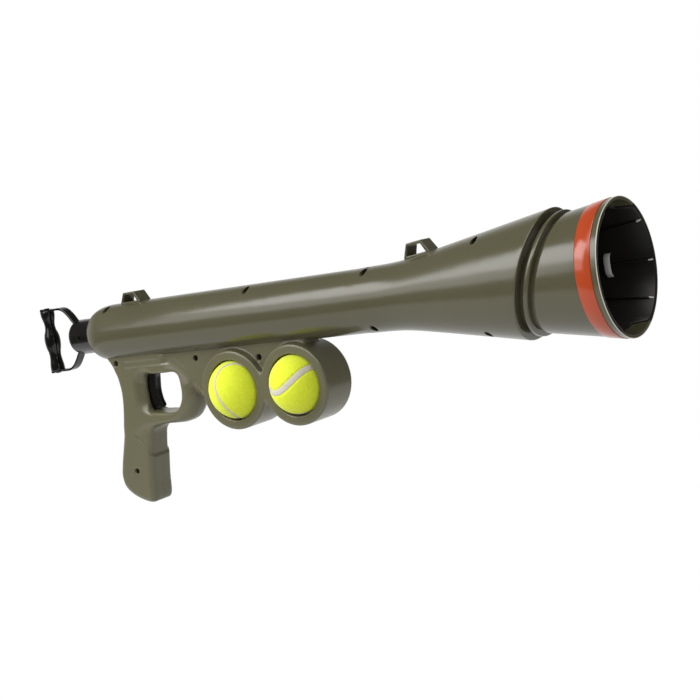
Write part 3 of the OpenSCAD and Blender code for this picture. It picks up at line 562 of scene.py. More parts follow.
# %% Grip and web as plates
GRIP_HALF, WEB_HALF, WEB_FILLET, PITCH = 17.0, 12.5, 2.0, 1.0
STOCK_LOW, STOCK_HIGH = (-666, -24, -203), (-329, 24, -16)
GROOVE_X, GROOVE_Z, GROOVE_TOP, GROOVE_DEPTH = -624.4, -115.3, -104, 1.3
STEP_NORMAL, FADE_NORMAL = (0.797, 0.604), (0.555, -0.832)
STRIP_X, STRIP_Z, STRIP_DEPTH = (-621, -549), (-41.0, -33.0), 0.7
BOW_X, BOW_TOP, BOW_FRONT, LOW_GRIP, ABOVE_BOW = -572, -46, -565, -106, -80
GRIP_EDGE, LOW_GRIP_EDGE, BOW_EDGE, FRONT_EDGE = 4.5, 2.5, 10.5, 3.0
WEB_EDGE, WEB_BOW_EDGE, WEB_BOW_X, WEB_BOW_TOP = 1.5, 10.0, -482, -52
x, y, z = grid(STOCK_LOW, STOCK_HIGH, PITCH)


def past_line(normal):
    """How far each place lies past a line through the groove's corner."""
    return (x - GROOVE_X) * normal[0] + (z - GROOVE_Z) * normal[1]


groove = GROOVE_DEPTH * ramp(past_line(STEP_NORMAL), 1.3) * ramp(past_line(FADE_NORMAL), 11)
groove = groove * ramp(GROOVE_TOP - z, 8)
strip = STRIP_DEPTH * ramp(STRIP_Z[1] - z, 1.3) * ramp(z - STRIP_Z[0], 1.3)
strip = strip * ramp(STRIP_X[1] - x, 5) * ramp(x - STRIP_X[0], 5)
grip_flat = outline_distance(GRIP, x, z)
thin = (1 - ramp(-grip_flat, 21)) * ramp(x - BOW_X, 20) * ramp(z - ABOVE_BOW, 14)
bow = ramp(x - BOW_X, 34) * ramp(BOW_TOP - z, 24)
grip_edge = GRIP_EDGE + LOW_GRIP_EDGE * ramp(LOW_GRIP - z, 14) + BOW_EDGE * bow
grip_edge = grip_edge - FRONT_EDGE * ramp(x - BOW_FRONT, 25) * (1 - bow)
grip_half = GRIP_HALF - groove - strip - (GRIP_HALF - WEB_HALF) * thin
body = slab(grip_flat + groove, y, grip_half, grip_edge)
web_edge = WEB_EDGE + WEB_BOW_EDGE * ramp(WEB_BOW_TOP - z, 16) * ramp(WEB_BOW_X - x, 14)
body = joined(body, slab(outline_distance(WEB, x, z), y, WEB_HALF, web_edge), WEB_FILLET)
print("field grid:", body.shape, "groove depth", round(float(groove.max()), 2), "mm")

# %% [markdown]
# ## Ball holders
# Each spare ball sits in a short open cylinder that stands out on both sides of the web. The two
# cylinders overlap by a little, so their union gets a fillet of its own. Inside there is a ledge that
# stops the ball, so it goes in from the near side only.

# %% Ball holders
HOLDER_R, HOLDER_HALF, HOLDER_EDGE = 43.0, 22.5, 2.6
HOLE_R, LEDGE_R, LEDGE_Y, LEDGE_THICK, HOLE_EDGE = 32.8, 27.0, 7.4, 3, 1.6
BETWEEN_HOLDERS, HOLDER_FILLET = 9.0, 3.0
away = [np.hypot(x - centre, z - HOLDER_Z) for centre in HOLDERS]
pair = joined(away[0] - HOLDER_R, away[1] - HOLDER_R, BETWEEN_HOLDERS)
body = joined(body, slab(pair, y, HOLDER_HALF, HOLDER_EDGE), HOLDER_FILLET)
wide, narrow = np.minimum(*away) - HOLE_R, np.minimum(*away) - LEDGE_R
off_ledge = np.minimum(y - LEDGE_Y, LEDGE_Y + LEDGE_THICK - y)
body = cut(body, np.minimum(np.maximum(wide, off_ledge), narrow), HOLE_EDGE)
print("holders at X", HOLDERS, "with", HOLE_R * 2, "mm holes")

# %% [markdown]
# ## Guard opening, scoops, wells
# What a finger or a screw needs is cut last: the guard's opening, a scoop on each side behind the
# trigger, the slot that the trigger moves in, room for the catch, and the screw wells. A scoop is the
# mark of an upright bar with round ends that stands beside the grip and bites into it.

# %% Guard opening, scoops, wells
GUARD_EDGE, SCOOP_EDGE, SLOT_EDGE, WELL_EDGE = 3.2, 4.5, 0.8, 0.6
SCOOP_X, SCOOP_Y, SCOOP_R, SCOOP_Z = -591, 29, 20, (-77.5, -62)
TRIGGER_SLOT = ((-613, -5.4, -93.5), (-593, 5.4, -47.5))
CATCH_ROOM = ((-604, -5.4, -61.5), (-518, 5.4, -29))
WELL_R, WELL_Y = 3.4, -8.0
LOW_WELLS = ((-630.6, -34.1), (-511.7, -37.9), (-422.1, -44.1), (-629.0, -160.5))
INTO_TUBE = 1.3
body = cut(body, outline_distance(GUARD, x, z), GUARD_EDGE)
off_line = z - np.clip(z, *SCOOP_Z)
for side in (-1, 1):
    scoop = np.sqrt((x - SCOOP_X) ** 2 + (y - side * SCOOP_Y) ** 2 + off_line**2) - SCOOP_R
    body = cut(body, scoop, SCOOP_EDGE)
for low, high in (TRIGGER_SLOT, CATCH_ROOM):
    sides = [np.maximum(a - v, v - b) for v, a, b in zip((x, y, z), low, high)]
    body = cut(body, np.maximum(np.maximum(*sides[:2]), sides[2]), SLOT_EDGE)
for well_x, well_z in LOW_WELLS:
    body = cut(body, np.maximum(np.hypot(x - well_x, z - well_z) - WELL_R, y - WELL_Y), WELL_EDGE)
body = np.maximum(body, TUBE_R - INTO_TUBE - np.hypot(y, z))
# The stock's lighter olive is painted light; its satin roughness is real.
stock = add_piece("stock", *surface_net(body, STOCK_LOW, PITCH), olive_satin_and_painted_light, crease=50)
print("stock:", len(stock.data.polygons), "faces")

# %% [markdown]
# ## Strap loops
# Two flat loops stand on the barrel for a carrying strap. Each is a plate with a hole, small enough
# for a fine grid of its own. The front one is a little taller and leans, since it stands on the start
# of the flare.

# %% Strap loops
LOOP = [[-15.25, -4], [15.25, -4], [15.25, 0], [7.75, 11.5], [-9.25, 11.5], [-15.25, 0]]
LOOP_HOLE = [[-11.4, 0.9], [10.6, 0.9], [6.3, 8.9], [-7.9, 8.9]]
LOOP_LOW, LOOP_HIGH, LOOP_PITCH = (-17, -11, -6), (17, 11, 15), 0.55
LOOP_HALF, LOOP_EDGE = 9.3, 1.0
LOOP_PLACES = (("rear_loop", -597.4, 32.5, 0, 1.0), ("front_loop", -208.2, 37.9, 6, 1.14))
x, y, z = grid(LOOP_LOW, LOOP_HIGH, LOOP_PITCH)
loops = []
for name, base, height, tilt, grow in LOOP_PLACES:
    plate = slab(outline_distance(LOOP, x, z / grow), y, LOOP_HALF, LOOP_EDGE)
    plate = cut(plate, outline_distance(LOOP_HOLE, x, z / grow), LOOP_EDGE)
    points, faces = surface_net(plate, LOOP_LOW, LOOP_PITCH)
    leant = points @ np.array(Matrix.Rotation(-math.radians(tilt), 3, "Y")).T
    loops.append(add_piece(name, leant + [base, 0, height], faces, olive, crease=50))
print("loops:", [len(loop.data.polygons) for loop in loops])

# %% [markdown]
# ## One casing
# The barrel, the stock and the loops are united, the screw bosses are put in and the wells drilled.
# Booleans are the natural tool here, because every one of these meshes is closed; the solver for
# closed meshes does each step in a moment.

# %% Uniting and drilling the casing
def machine(piece, tool, operation):
    """Unites, cuts or intersects piece with tool, and deletes the tool."""
    step = piece.modifiers.new(operation, "BOOLEAN")
    step.operation, step.solver, step.object = operation, "MANIFOLD", tool
    step.material_mode = "TRANSFER"
    graph = bpy.context.evaluated_depsgraph_get()
    made = bpy.data.meshes.new_from_object(piece.evaluated_get(graph))
    piece.modifiers.clear()
    piece.data = made
    bpy.data.objects.remove(tool)


def peg(name, x, z, radius, low, high, steps=40):
    """A round bar along Y, as a tool for the cuts."""
    cosines, sines = circle(steps)
    ends = []
    for y in (high, low):
        ends.append(np.column_stack([x + radius * cosines, np.full(steps, y), z + radius * sines]))
    return add_piece(name, *skin(ends, closed=False), olive)


TOP_WELLS = ((-631.0, 27.9), (-421.0, 27.9), (-269.0, 28.9), (-135.5, 43.5), (-265.0, -26.9), (-135.5, -43.5))
BOSS_R, BOSS_INSET, BOSS_SHIFT, LEAST_REACH, DRILL_START = 4.4, 1.2, 0.4, 6, -70
for tool in [stock] + loops:
    machine(barrel, tool, "UNION")
for well_x, well_z in TOP_WELLS:
    outer = float(flare_radius(well_x)) if well_x > TUBE_END else TUBE_R
    room_left = (outer - BOSS_INSET) ** 2 - (abs(well_z) + BOSS_R) ** 2
    reach = math.sqrt(max(room_left, LEAST_REACH**2))
    boss_z = well_z * (1 - BOSS_SHIFT / abs(well_z))
    machine(barrel, peg("boss", well_x, boss_z, BOSS_R, -reach, reach), "UNION")
    machine(barrel, peg("well", well_x, well_z, WELL_R, DRILL_START, WELL_Y), "DIFFERENCE")
print("casing:", len(barrel.data.polygons), "faces")

# %% [markdown]
# ## Two halves
# The real casing is two mouldings, screwed together at the middle plane. So the whole is sawn there,
# with a hair of a gap that draws the parting line, and each half stands for its CAD shell.

# %% Two halves
PARTING, SAW_Y = 0.06, 80
SAW = ((-800, -300), (100, -300), (100, 100), (-800, 100))
HALVES = (("right_shell", -SAW_Y, -PARTING), ("left_shell", PARTING, SAW_Y))
for node, low, high in HALVES:
    half = bpy.data.objects.new(node + "_skin", barrel.data.copy())
    bpy.context.collection.objects.link(half)
    saw = [np.array([[saw_x, y, saw_z] for saw_x, saw_z in SAW]) for y in (high, low)]
    machine(half, add_piece("saw", *skin(saw, closed=False), olive), "INTERSECT")
    smooth(half, crease=40)
    dress(half, "casing", "olive_plastic", node)
bpy.data.objects.remove(barrel)

# %% [markdown]
# ## Muzzle cone
# The cone carries on where the flare stops. Behind the collar it hides inside the casing; in front of
# the collar a ring stands between two deep grooves and leans as the collar does. Further forward the
# rings straighten up, and a shallow groove takes the band. The mouth's outer edge is a thin ring in a
# pale colour, which paints the highlight that this edge catches.

# %% Muzzle cone
CONE_WALL, CONE_BACK, NECK_DEPTH, LIP = 3.2, -112.0, 2.2, 0.7
RIDGE = (
    (-84.0, -2.2), (-75.3, -2.2), (-75.0, 2.2), (-74.8, 2.8), (-74.4, 3.3), (-73.8, 3.5), (-71.0, 3.3),
    (-70.4, 3.1), (-70.0, 2.6), (-69.8, 2.0), (-69.5, -2.2), (-64.9, -2.2), (-64.6, -0.7), (-64.3, -0.25),
    (-63.8, -0.05), (-63.1, 0.0))
STRAIGHTENING = ((-60, 0.85), (-52, 0.6), (-44, 0.35), (-36, 0.12))
BAND_SEAT = ((-28, 0), (-22.4, 0), (-22.2, 0.5), (-6.1, 0.5), (-5.9, 0), (-LIP, 0))
outside = [ring(x, cone_radius(x) - NECK_DEPTH) for x in (CONE_BACK, -106.0)]
outside += [leaning_ring(x, lambda v, r=rise: cone_radius(v) + r) for x, rise in RIDGE]
outside += [leaning_ring(x, cone_radius, share) for x, share in STRAIGHTENING]
outside += [ring(x, cone_radius(x) - depth) for x, depth in BAND_SEAT]
inside = [ring(x, cone_radius(x) - CONE_WALL) for x in (-LIP, -6.0, -40.0, -80.0, CONE_BACK)]
cone = add_piece("muzzle_cone_wall", *skin(outside + inside), olive, crease=38)
dress(cone, "casing", "olive_plastic", "muzzle_cone")
# The thin ring at the rim is coloured pale to paint the highlight on that edge.
RIM_R, RIM_EDGE_WIDTH = cone_radius(-LIP), 0.5
highlight_edge_rings = []
for a in np.radians(np.arange(0, 76, 15)):
    highlight_edge_rings.append(ring(LIP * (math.sin(a) - 1), RIM_R - LIP * (1 - math.cos(a))))
highlight_edge_rings.append(ring(-LIP, RIM_R - RIM_EDGE_WIDTH))
rim_highlight_ring = add_piece("rim_highlight_ring", *skin(highlight_edge_rings), painted_rim_highlight)
dress(rim_highlight_ring, "casing", "olive_plastic", "muzzle_cone")

# %% [markdown]
# ## Orange band
# The band is a thin ring pressed into a groove of the cone. It could be painted on the cone, but a
# ring of its own has round edges, and each of them catches a thin line of light.

# %% Orange band
BAND = ((-22.0, -0.45), (-22.0, 0.25), (-21.8, 0.45), (-21.3, 0.6), (-6.9, 0.6), (-6.4, 0.45), (-6.2, 0.25),
        (-6.2, -0.45))
band_rings = [ring(x, cone_radius(x) + rise) for x, rise in BAND]
band = add_piece("orange_band", *skin(band_rings), orange, crease=40)
dress(band, "casing", "orange_plastic", "muzzle_band")

# %% [markdown]
# ## Liner sleeve
# A dark sleeve lines the muzzle and turns over its edge in a small flange. Above and below, its front
# edge steps back in a notch, where the olive wall shows. A notch could be cut with a boolean, but
# moving the points of the front rings back keeps the skin in one piece.

# %% Liner sleeve
LINER_BACK, LINER_OUT, LINER_IN, LINER_FRONT = -112.0, 0.05, 1.85, -24.0
NOTCH_HALF, NOTCH_FADE, NOTCH_DEPTH = 30, 9, 15.0
FLANGE = (
    (-0.6, 0.05, 0), (-0.6, 0.05, 2.3), (-0.35, 0.05, 2.35), (-0.15, 0.1, 2.2), (-0.1, 0.3, 0.6),
    (-0.25, 0.9, 0), (-0.6, 1.5, 0), (-1.6, 1.85, 0))
ring_cosines, ring_sines = circle()
from_notch = np.degrees(np.abs(np.abs(np.arctan2(ring_sines, ring_cosines)) - math.pi / 2))
notch = ramp(NOTCH_HALF - from_notch, NOTCH_FADE)


def bore(x):
    return cone_radius(x) - CONE_WALL


def notched_ring(x, sink, rise):
    """A ring on the bore, sunk from it, that steps back at the notches; rise is the flange's height."""
    along = x - NOTCH_DEPTH * notch
    size = bore(along) - sink + rise * (1 - notch)
    return np.column_stack([along, size * ring_cosines, size * ring_sines])


sleeve = [ring(x, bore(x) - LINER_OUT) for x in (LINER_BACK, -60.0, LINER_FRONT)]
sleeve += [notched_ring(*station) for station in FLANGE]
sleeve += [ring(x, bore(x) - LINER_IN) for x in (LINER_FRONT, -30.0, -60.0, -90.0, LINER_BACK)]
print("sleeve:", len(sleeve), "rings, notches", NOTCH_DEPTH, "mm deep")

# %% [markdown]
# ## Ribs
# Six ribs along the sleeve guide the ball, and their front ends are tips in a pale colour, which paints
# the highlight that they catch. They could be united with the sleeve, but closed bars that reach into
# its wall look the same and stay simple.

# %% Ribs
RIB_ANGLES, RIB_HALF, CREST_SHARE = np.radians((0, 41, 139, 178, 219, 324)), 0.8, 0.7
RIB = ((-111.5, 1.6, 5.0), (-60.0, 1.6, 5.0), (-24.0, 1.6, 5.0), (-4.7, 1.6, 3.6))
RIB_TIP = ((-4.6, 1.0, 3.7), (-2.8, 1.0, 3.4), (-1.0, 1.0, 2.2))


def rib(angle, stations):
    """A bar along the bore: stations are (x, depth of its foot, depth of its crest)."""
    across = np.array([0, -math.sin(angle), math.cos(angle)]) * RIB_HALF
    out = np.array([0, math.cos(angle), math.sin(angle)])
    rows = []
    for x, foot, crest in stations:
        low, high = out * (bore(x) - foot), out * (bore(x) - crest)
        narrow = across * CREST_SHARE
        rows.append(np.array([low - across, low + across, high + narrow, high - narrow]) + [x, 0, 0])
    return skin(rows, closed=False)


def merged(parts):
    """Several point and face lists as one."""
    points, faces, count = [], [], 0
    for part_points, part_faces in parts:
        points.append(part_points)
        faces += [tuple(i + count for i in face) for face in part_faces]
        count += len(part_points)
    return np.concatenate(points), faces


ribs = [rib(angle, RIB) for angle in RIB_ANGLES]
liner = add_piece("muzzle_liner_sleeve", *merged([skin(sleeve)] + ribs), liner_black)
dress(liner, "casing", "black_plastic", "muzzle_liner")
# The tips' pale colour paints the highlight that the ribs' front ends catch.
rib_tips_painted_highlight = add_piece("rib_tips_painted_highlight", *merged([rib(angle, RIB_TIP) for angle in RIB_ANGLES]), pale_clips_and_tip_highlight)
dress(rib_tips_painted_highlight, "casing", "pale_plastic", "liner_clips")

# %% [markdown]
# ## Clips
# Two pale clips hold the sleeve, one on each side. Each is a springy arch: a flat oval bar with its
# feet on the wall and its crest towards the axis. The bar is swept ring by ring, so that its ends can
# follow the round wall.

# %% Clips
CLIP_X, CLIP_HALF_WIDTH, CLIP_HALF_THICK, CLIP_HALF_SPAN = -41.0, 3.1, 1.0, 11.0
CLIP_FOOT, CLIP_RISE = 2.2, 5.4


def clip(side, steps=25, sides=12):
    rows = []
    for s in np.linspace(-1, 1, steps):
        crest = CLIP_FOOT + CLIP_RISE * (1 - abs(s) ** 3)
        row = []
        for cosine, sine in zip(*circle(sides)):
            x, z = CLIP_X + CLIP_HALF_WIDTH * cosine, CLIP_HALF_SPAN * s
            out = math.sqrt(bore(x) ** 2 - z * z) - crest + CLIP_HALF_THICK * sine
            row.append([x, side * out, side * z])
        rows.append(row)
    return skin(np.array(rows), closed=False)


clips = add_piece("arched_clips", *merged([clip(1), clip(-1)]), pale_clips_and_tip_highlight, crease=50)
dress(clips, "casing", "pale_plastic", "liner_clips")

# %% [markdown]
# ## Trigger
# The trigger is a curved blade of glossy black plastic with a groove down its middle, so that it
# shows two lines of light. A tongue at its top covers a part of its slot; it is short, so that it
# stays out of the finger's way at full pull. A small distance field again gives the soft edges. The
# arm that pushes the catch is hidden in the casing, so only the solid has it.

# %% Trigger
PIN_X, PIN_Z, PIN_HOLE_R = -588.0, -41.5, 2.55
BLADE = curve(np.array([
    [5, 1], [4.5, -8], [3.0, -17], [1.2, -29], [2.2, -40], [4.6, -47], [1.5, -49.5], [-4, -49.5],
    [-7, -46], [-10.4, -34], [-12.5, -20], [-11, -6], [-4, 3]]) + [PIN_X, PIN_Z], 5)
BLADE_HALF, BLADE_EDGE, FURROW_DEPTH, FURROW_WIDTH, FURROW_TOP = 5.0, 1.6, 0.9, 1.5, -52
TONGUE = np.array([[3, -6.6], [12, -6.6], [12, -8.8], [3, -11]]) + [PIN_X, PIN_Z]
TONGUE_HALF, TONGUE_EDGE, TONGUE_FILLET = 4.0, 0.7, 1.2
TRIGGER_LOW, TRIGGER_HIGH, TRIGGER_PITCH = (-604, -8, -94), (-559, 8, -36), 0.6
x, y, z = grid(TRIGGER_LOW, TRIGGER_HIGH, TRIGGER_PITCH)
furrow = FURROW_DEPTH * np.exp(-((y / FURROW_WIDTH) ** 2)) * ramp(FURROW_TOP - z, 6)
blade = slab(outline_distance(BLADE, x, z) + furrow, y, BLADE_HALF, BLADE_EDGE)
tongue = slab(outline_distance(TONGUE, x, z), y, TONGUE_HALF, TONGUE_EDGE)
blade = joined(blade, tongue, TONGUE_FILLET)
blade = np.maximum(blade, PIN_HOLE_R - np.hypot(x - PIN_X, z - PIN_Z))
trigger = add_piece("trigger_blade", *surface_net(blade, TRIGGER_LOW, TRIGGER_PITCH), black, crease=50)
dress(trigger, "trigger", "black_plastic", "trigger")

# %% [markdown]
# ## Pull tube
# A black tube slides out of the rear end when the thrower is cocked. Its end edge is rounded, and a
# hole goes through it for the screws of the plug, which stays the CAD piece.

# %% Pull tube
TUBE = (
    (-695.5, 17.9), (-695.5, 19.5), (-694.9, 20.1), (-694.0, 20.3), (-600.0, 20.3), (-485.0, 20.3),
    (-484.3, 19.8), (-484.3, 17.9), (-600.0, 17.9))
PLUG_SCREW_X, PLUG_HOLE_R, PLUG_DRILL = -680.5, 2.9, 26
tube = add_piece("pull_tube_wall", *skin([ring(x, radius, 96) for x, radius in TUBE]), black, crease=40)
machine(tube, peg("hole", PLUG_SCREW_X, 0, PLUG_HOLE_R, -PLUG_DRILL, PLUG_DRILL), "DIFFERENCE")
smooth(tube, crease=40)
dress(tube, "plunger", "black_plastic", "pull_tube")

# %% [markdown]
# ## Handle bar
# The handle ends in an upright bar, shaped for two fingers: it swells in the middle and has two
# waists. It is turned about an upright axis, so it is a skin of level rings.

# %% Handle bar
BAR_X, BAR_STEPS = -747.0, 64
BAR = (
    (-36.4, 7.4), (-36.0, 8.2), (-35.2, 8.5), (-30, 8.3), (-26, 7.7), (-22, 7.1), (-17.75, 6.8),
    (-13, 7.3), (-8, 8.6), (-4, 9.2), (0, 9.4), (4, 9.2), (8, 8.5), (13, 6.6), (17.75, 6.0),
    (22, 6.4), (26, 7.3), (30, 8.2), (35.2, 8.5), (36.0, 8.2), (36.4, 7.4))
bar_cosines, bar_sines = circle(BAR_STEPS)
bar_rings = []
for z, radius in BAR:
    level_ring = [BAR_X + radius * bar_cosines, radius * bar_sines, np.full(BAR_STEPS, z)]
    bar_rings.append(np.column_stack(level_ring))
bar = add_piece("handle_bar", *skin(bar_rings, closed=False), black, crease=50)
dress(bar, "plunger", "black_plastic", "handle_grip")

# %% [markdown]
# ## Handle straps
# Two flat straps carry the bar, one above the axis and one below. A strap is its section swept along
# a path, and the section's corners are bevelled so that they shine. The path is taken from the same
# kind of closed curve as the grip, without the stretch that leads back to its start.

# %% Handle straps
STRAP_STEPS = 6
STRAP_POINTS = [
    [-682.5, 15.7], [-690, 15.7], [-697.5, 15.9], [-701.5, 19.3], [-707.5, 26.9], [-714, 33.1],
    [-720.5, 36.1], [-727.5, 36.6], [-740, 36.4], [-750.5, 36.2]]
STRAP = curve(STRAP_POINTS, STRAP_STEPS)[:(len(STRAP_POINTS) - 1) * STRAP_STEPS + 1]
SECTION = np.array([
    [-5.5, -0.7], [-5.0, -1.2], [5.0, -1.2], [5.5, -0.7], [5.5, 0.7], [5.0, 1.2], [-5.0, 1.2], [-5.5, 0.7]])


def strap(sign):
    """The strap's section swept along its path, above or below the axis."""
    along = np.gradient(STRAP, axis=0)
    along /= np.linalg.norm(along, axis=1)[:, None]
    wide, thick = SECTION.T
    rows = []
    for (px, pz), (tx, tz) in zip(STRAP, along):
        rows.append(np.column_stack([px - tz * thick, sign * wide, sign * (pz + tx * thick)]))
    return skin(rows, closed=False)


arms = add_piece("handle_straps", *merged([strap(1), strap(-1)]), black, crease=40)
dress(arms, "plunger", "black_plastic", "handle_arms")

# %% [markdown]
# ## The seam of a ball
# A felt ball's seam is one closed curve with a simple formula. Each ball is turned as it lies in the
# photograph: the formula's straightest stretch is aimed at a given point of the ball, in a given
# direction, both of them as the camera sees them.

# %% Seam curve
t = np.linspace(0, 2 * math.pi, 720, endpoint=False)
SEAM = np.column_stack([
    0.75 * np.cos(t) + 0.25 * np.cos(3 * t), 0.75 * np.sin(t) - 0.25 * np.sin(3 * t), 0.866 * np.sin(2 * t)])
SEAM /= np.linalg.norm(SEAM, axis=1)[:, None]
TO_CAMERA = Vector((0.62, -0.776, 0.112)).normalized()


def seam_turn(tilt, towards, along):
    """Turns the seam: its straight stretch lies tilt degrees off the line of sight."""
    side = (RIGHT * towards[0] + UP * towards[1]).normalized()
    front = (TO_CAMERA * math.cos(math.radians(tilt)) + side * math.sin(math.radians(tilt))).normalized()
    run = RIGHT * along[0] + UP * along[1]
    run = (run - front * run.dot(front)).normalized()
    return np.array([front, run.cross(front), run]).T


print("seam:", len(SEAM), "points")

# %% [markdown]
# ## Spare balls
# The felt is a fine round net of triangles, roughened by small random lumps, which sinks along the
# seam. A ribbon of bare rubber lies in that furrow. A round net from the icosahedron has no poles, so
# its lumps are alike all over.

# %% Spare balls
BALL_R, BALL_Y, NAP_SINK, NAP_LUMP, SEAM_DEPTH = 32.5, -11.0, 0.15, 0.07, 0.9
RIBBON = (
    (-1, -0.75), (-0.8, -0.45), (-0.4, -0.3), (0, -0.25), (0.4, -0.3), (0.8, -0.45), (1, -0.75), (0, -1.6))


def ball(name, x, body, width, turned):
    """A ball's felt and its seam, a ribbon of the given width."""
    line = SEAM @ turned.T
    bpy.ops.mesh.primitive_ico_sphere_add(subdivisions=6, radius=1.0)
    sphere = bpy.context.object
    points = np.array([v.co for v in sphere.data.vertices])
    faces = [tuple(p.vertices) for p in sphere.data.polygons]
    bpy.data.objects.remove(sphere)
    near = np.concatenate([(part @ line.T).max(axis=1) for part in np.array_split(points, 32)])
    off_seam = np.arccos(np.clip(near, -1, 1)) * BALL_R
    lumps = np.random.default_rng(7).normal(0, NAP_LUMP, len(points))
    # Full depth over the ribbon, then back to the surface over a quarter of its width.
    radius = BALL_R - NAP_SINK + lumps - SEAM_DEPTH * np.clip(1.5 - off_seam / (width / 2), 0, 0.5) * 2
    centre = np.array([x, BALL_Y, HOLDER_Z])
    felt_ball = add_piece(name + "_nap", centre + points * radius[:, None], faces, nap, crease=180)
    dress(felt_ball, body, "felt", name)
    ahead = np.roll(line, -1, 0) - np.roll(line, 1, 0)
    side = np.cross(line, ahead / np.linalg.norm(ahead, axis=1)[:, None])
    rows = []
    for share, lift in RIBBON:
        rows.append(centre + (line + side * share * width / 2 / BALL_R) * (BALL_R + lift))
    ribbon = add_piece(name + "_seam", *skin(rows[::-1]), seam_rubber, crease=60)
    dress(ribbon, body, "felt", name)


front_turn = seam_turn(tilt=13.7, towards=(-0.69, 0.72), along=(0.72, 0.69))
ball("front_felt", HOLDERS[0], "front_ball", width=6.4, turned=front_turn)
rear_turn = seam_turn(tilt=44.0, towards=(-0.85, -0.53), along=(0.53, -0.85))
ball("rear_felt", HOLDERS[1], "rear_ball", width=3.2, turned=rear_turn)

# %% [markdown]
# ## Springs
# A coil is a circle carried along a helix. A curve with a bevel would do too, but a swept skin is a
# closed mesh at once. The main spring lies in the barrel and shortens as the handle is pulled, and the
# catch has a tiny one. Each is made at its rest length, which comes from the frame.

# %% Springs
MAIN_COIL_R, MAIN_TURNS, SEAR_COIL_R, SEAR_TURNS = 14.0, 18, 2.4, 4


def coil(name, start, axis, length, radius, wire, turns, per_turn=28, sides=10):
    """A wound wire from start along axis."""
    axis = Vector(axis)
    u = axis.orthogonal().normalized()
    v = axis.cross(u)
    rows = []
    for i in range(int(turns * per_turn) + 1):
        a = 2 * math.pi * i / per_turn
        out = u * math.cos(a) + v * math.sin(a)
        rise = length * i / (turns * per_turn)
        mid = Vector(start) + axis * rise + out * radius
        rows.append([mid + (out * cosine + axis * sine) * wire for cosine, sine in zip(*circle(sides))])
    return add_piece(name, *skin(np.array(rows), closed=False), steel, crease=60)


low, high = (np.array(c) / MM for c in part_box("main_spring"))
wire = high[1] - MAIN_COIL_R
length = high[0] - low[0] - 2 * wire
start = (low[0] + wire, 0, 0)
main_coil = coil("main_spring_coil", start, (1, 0, 0), length, MAIN_COIL_R, wire, MAIN_TURNS)
dress(main_coil, "casing", "steel", "main_spring")
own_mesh(main_coil)
low, high = (np.array(c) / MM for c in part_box("sear_spring"))
wire = (high[1] - low[1]) / 2 - SEAR_COIL_R
length = high[2] - low[2] - 2 * wire
start = ((low[0] + high[0]) / 2, 0, low[2] + wire)
sear_coil = coil("sear_spring_coil", start, (0, 0, 1), length, SEAR_COIL_R, wire, SEAR_TURNS)
dress(sear_coil, "casing", "steel", "sear_spring")
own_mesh(sear_coil)

# %% [markdown]
# ## What the CAD already shows well
# Pins, screws, guides, the plunger and the catch are plain turned or cut pieces. Their CAD shapes are
# right as they are, so they only get their finishes.

# %% Finishes of the CAD pieces
CAD_FINISHES = (
    (black, ("ball_chamber", "front_guide", "spring_seat", "rear_bush")),
    (black, ("tube_plug", "spring_collar", "pusher_cup")),
    (black_steel, ("shell_screws", "plug_screws", "handle_screws", "arm_rivets")),
    (steel, ("trigger_pin", "sear_pin", "sear", "rod_coupler", "rod_nut", "plunger_rod")),
    (rubber, ("buffer_ring", "pusher_pad", "rear_core", "front_core")),
)
for finish, names in CAD_FINISHES:
    for name in names:
        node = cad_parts[name]
        node.data.materials.clear()
        node.data.materials.append(finish)
    print(finish.name, "goes on", ", ".join(names))

# %% [markdown]
# ## White floor
# The photograph's background is plain white, and shows no contact with a floor. So the floor lies
# well below the part. For light that bounces it is grey paper, which keeps the undersides dark
# enough; for rays that come from the camera or from a mirror it is nearly all plain white. The Light
# Path node tells which kind of ray asks.

# %% Floor
FLOOR_Z, FLOOR_X, FLOOR_Y = -420.0, (-1650, 1400), (-950, 900)
WHITE, PAPER, PAPER_GLOW, WHITE_SHARE = (1, 1, 1, 1), (0.48, 0.48, 0.48, 1), 1.06, 0.9
corners = [[FLOOR_X[i], FLOOR_Y[j], FLOOR_Z] for i, j in ((0, 0), (1, 0), (1, 1), (0, 1))]
floor = add_piece("floor", corners, [(0, 1, 2, 3)], bpy.data.materials.new("pale_floor"))
floor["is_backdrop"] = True
card = Finish(floor.data.materials[0])


def ray_kind(finish, *kinds):
    """One where a ray is of any of these kinds."""
    total, *others = [finish.node("ShaderNodeLightPath", output=kind) for kind in kinds]
    for value in others:
        total = total.math("MAXIMUM", total, value)
    return total


paper = card.tree.nodes["Principled BSDF"]
card.feed(paper, {"Base Color": PAPER, "Roughness": 0.9, "Specular IOR Level": 0.0})
white = card.node("ShaderNodeEmission", None, {"Color": WHITE, "Strength": PAPER_GLOW})
seen = ray_kind(card, "Is Camera Ray", "Is Glossy Ray", "Is Transmission Ray") * WHITE_SHARE
mixed = card.node("ShaderNodeMixShader", None, {0: seen, 1: Value(card, paper.outputs[0]), 2: white})
card.feed(card.tree.nodes["Material Output"], {"Surface": mixed})
print("floor at", FLOOR_Z, "mm")

# %% [markdown]
# ## White room
# The camera sees a room of strength 1. The light that falls on the part is set apart from it, and is
# weaker from the front, so that the shades can be matched without touching the background. What the
# plastic mirrors is a third thing: white beyond the object, a bright ceiling, a dim wall behind the
# rear end and a dark studio elsewhere, which gives highlights like those in the photograph. One sky
# image could hold all this, but soft steps on the direction are easier to move.

# %% World
CEILING, REAR_WALL, GLOOM, FILL, FILL_FALL = 4.0, 0.6, 0.1, 0.98, 0.66
world = bpy.data.worlds.new("studio")
bpy.context.scene.world = world
room = Finish(world)
look = room.node("ShaderNodeTexCoord", output="Generated")
ahead, beyond, above = (room.node("ShaderNodeSeparateXYZ", None, {0: look}, output=axis) for axis in "XYZ")


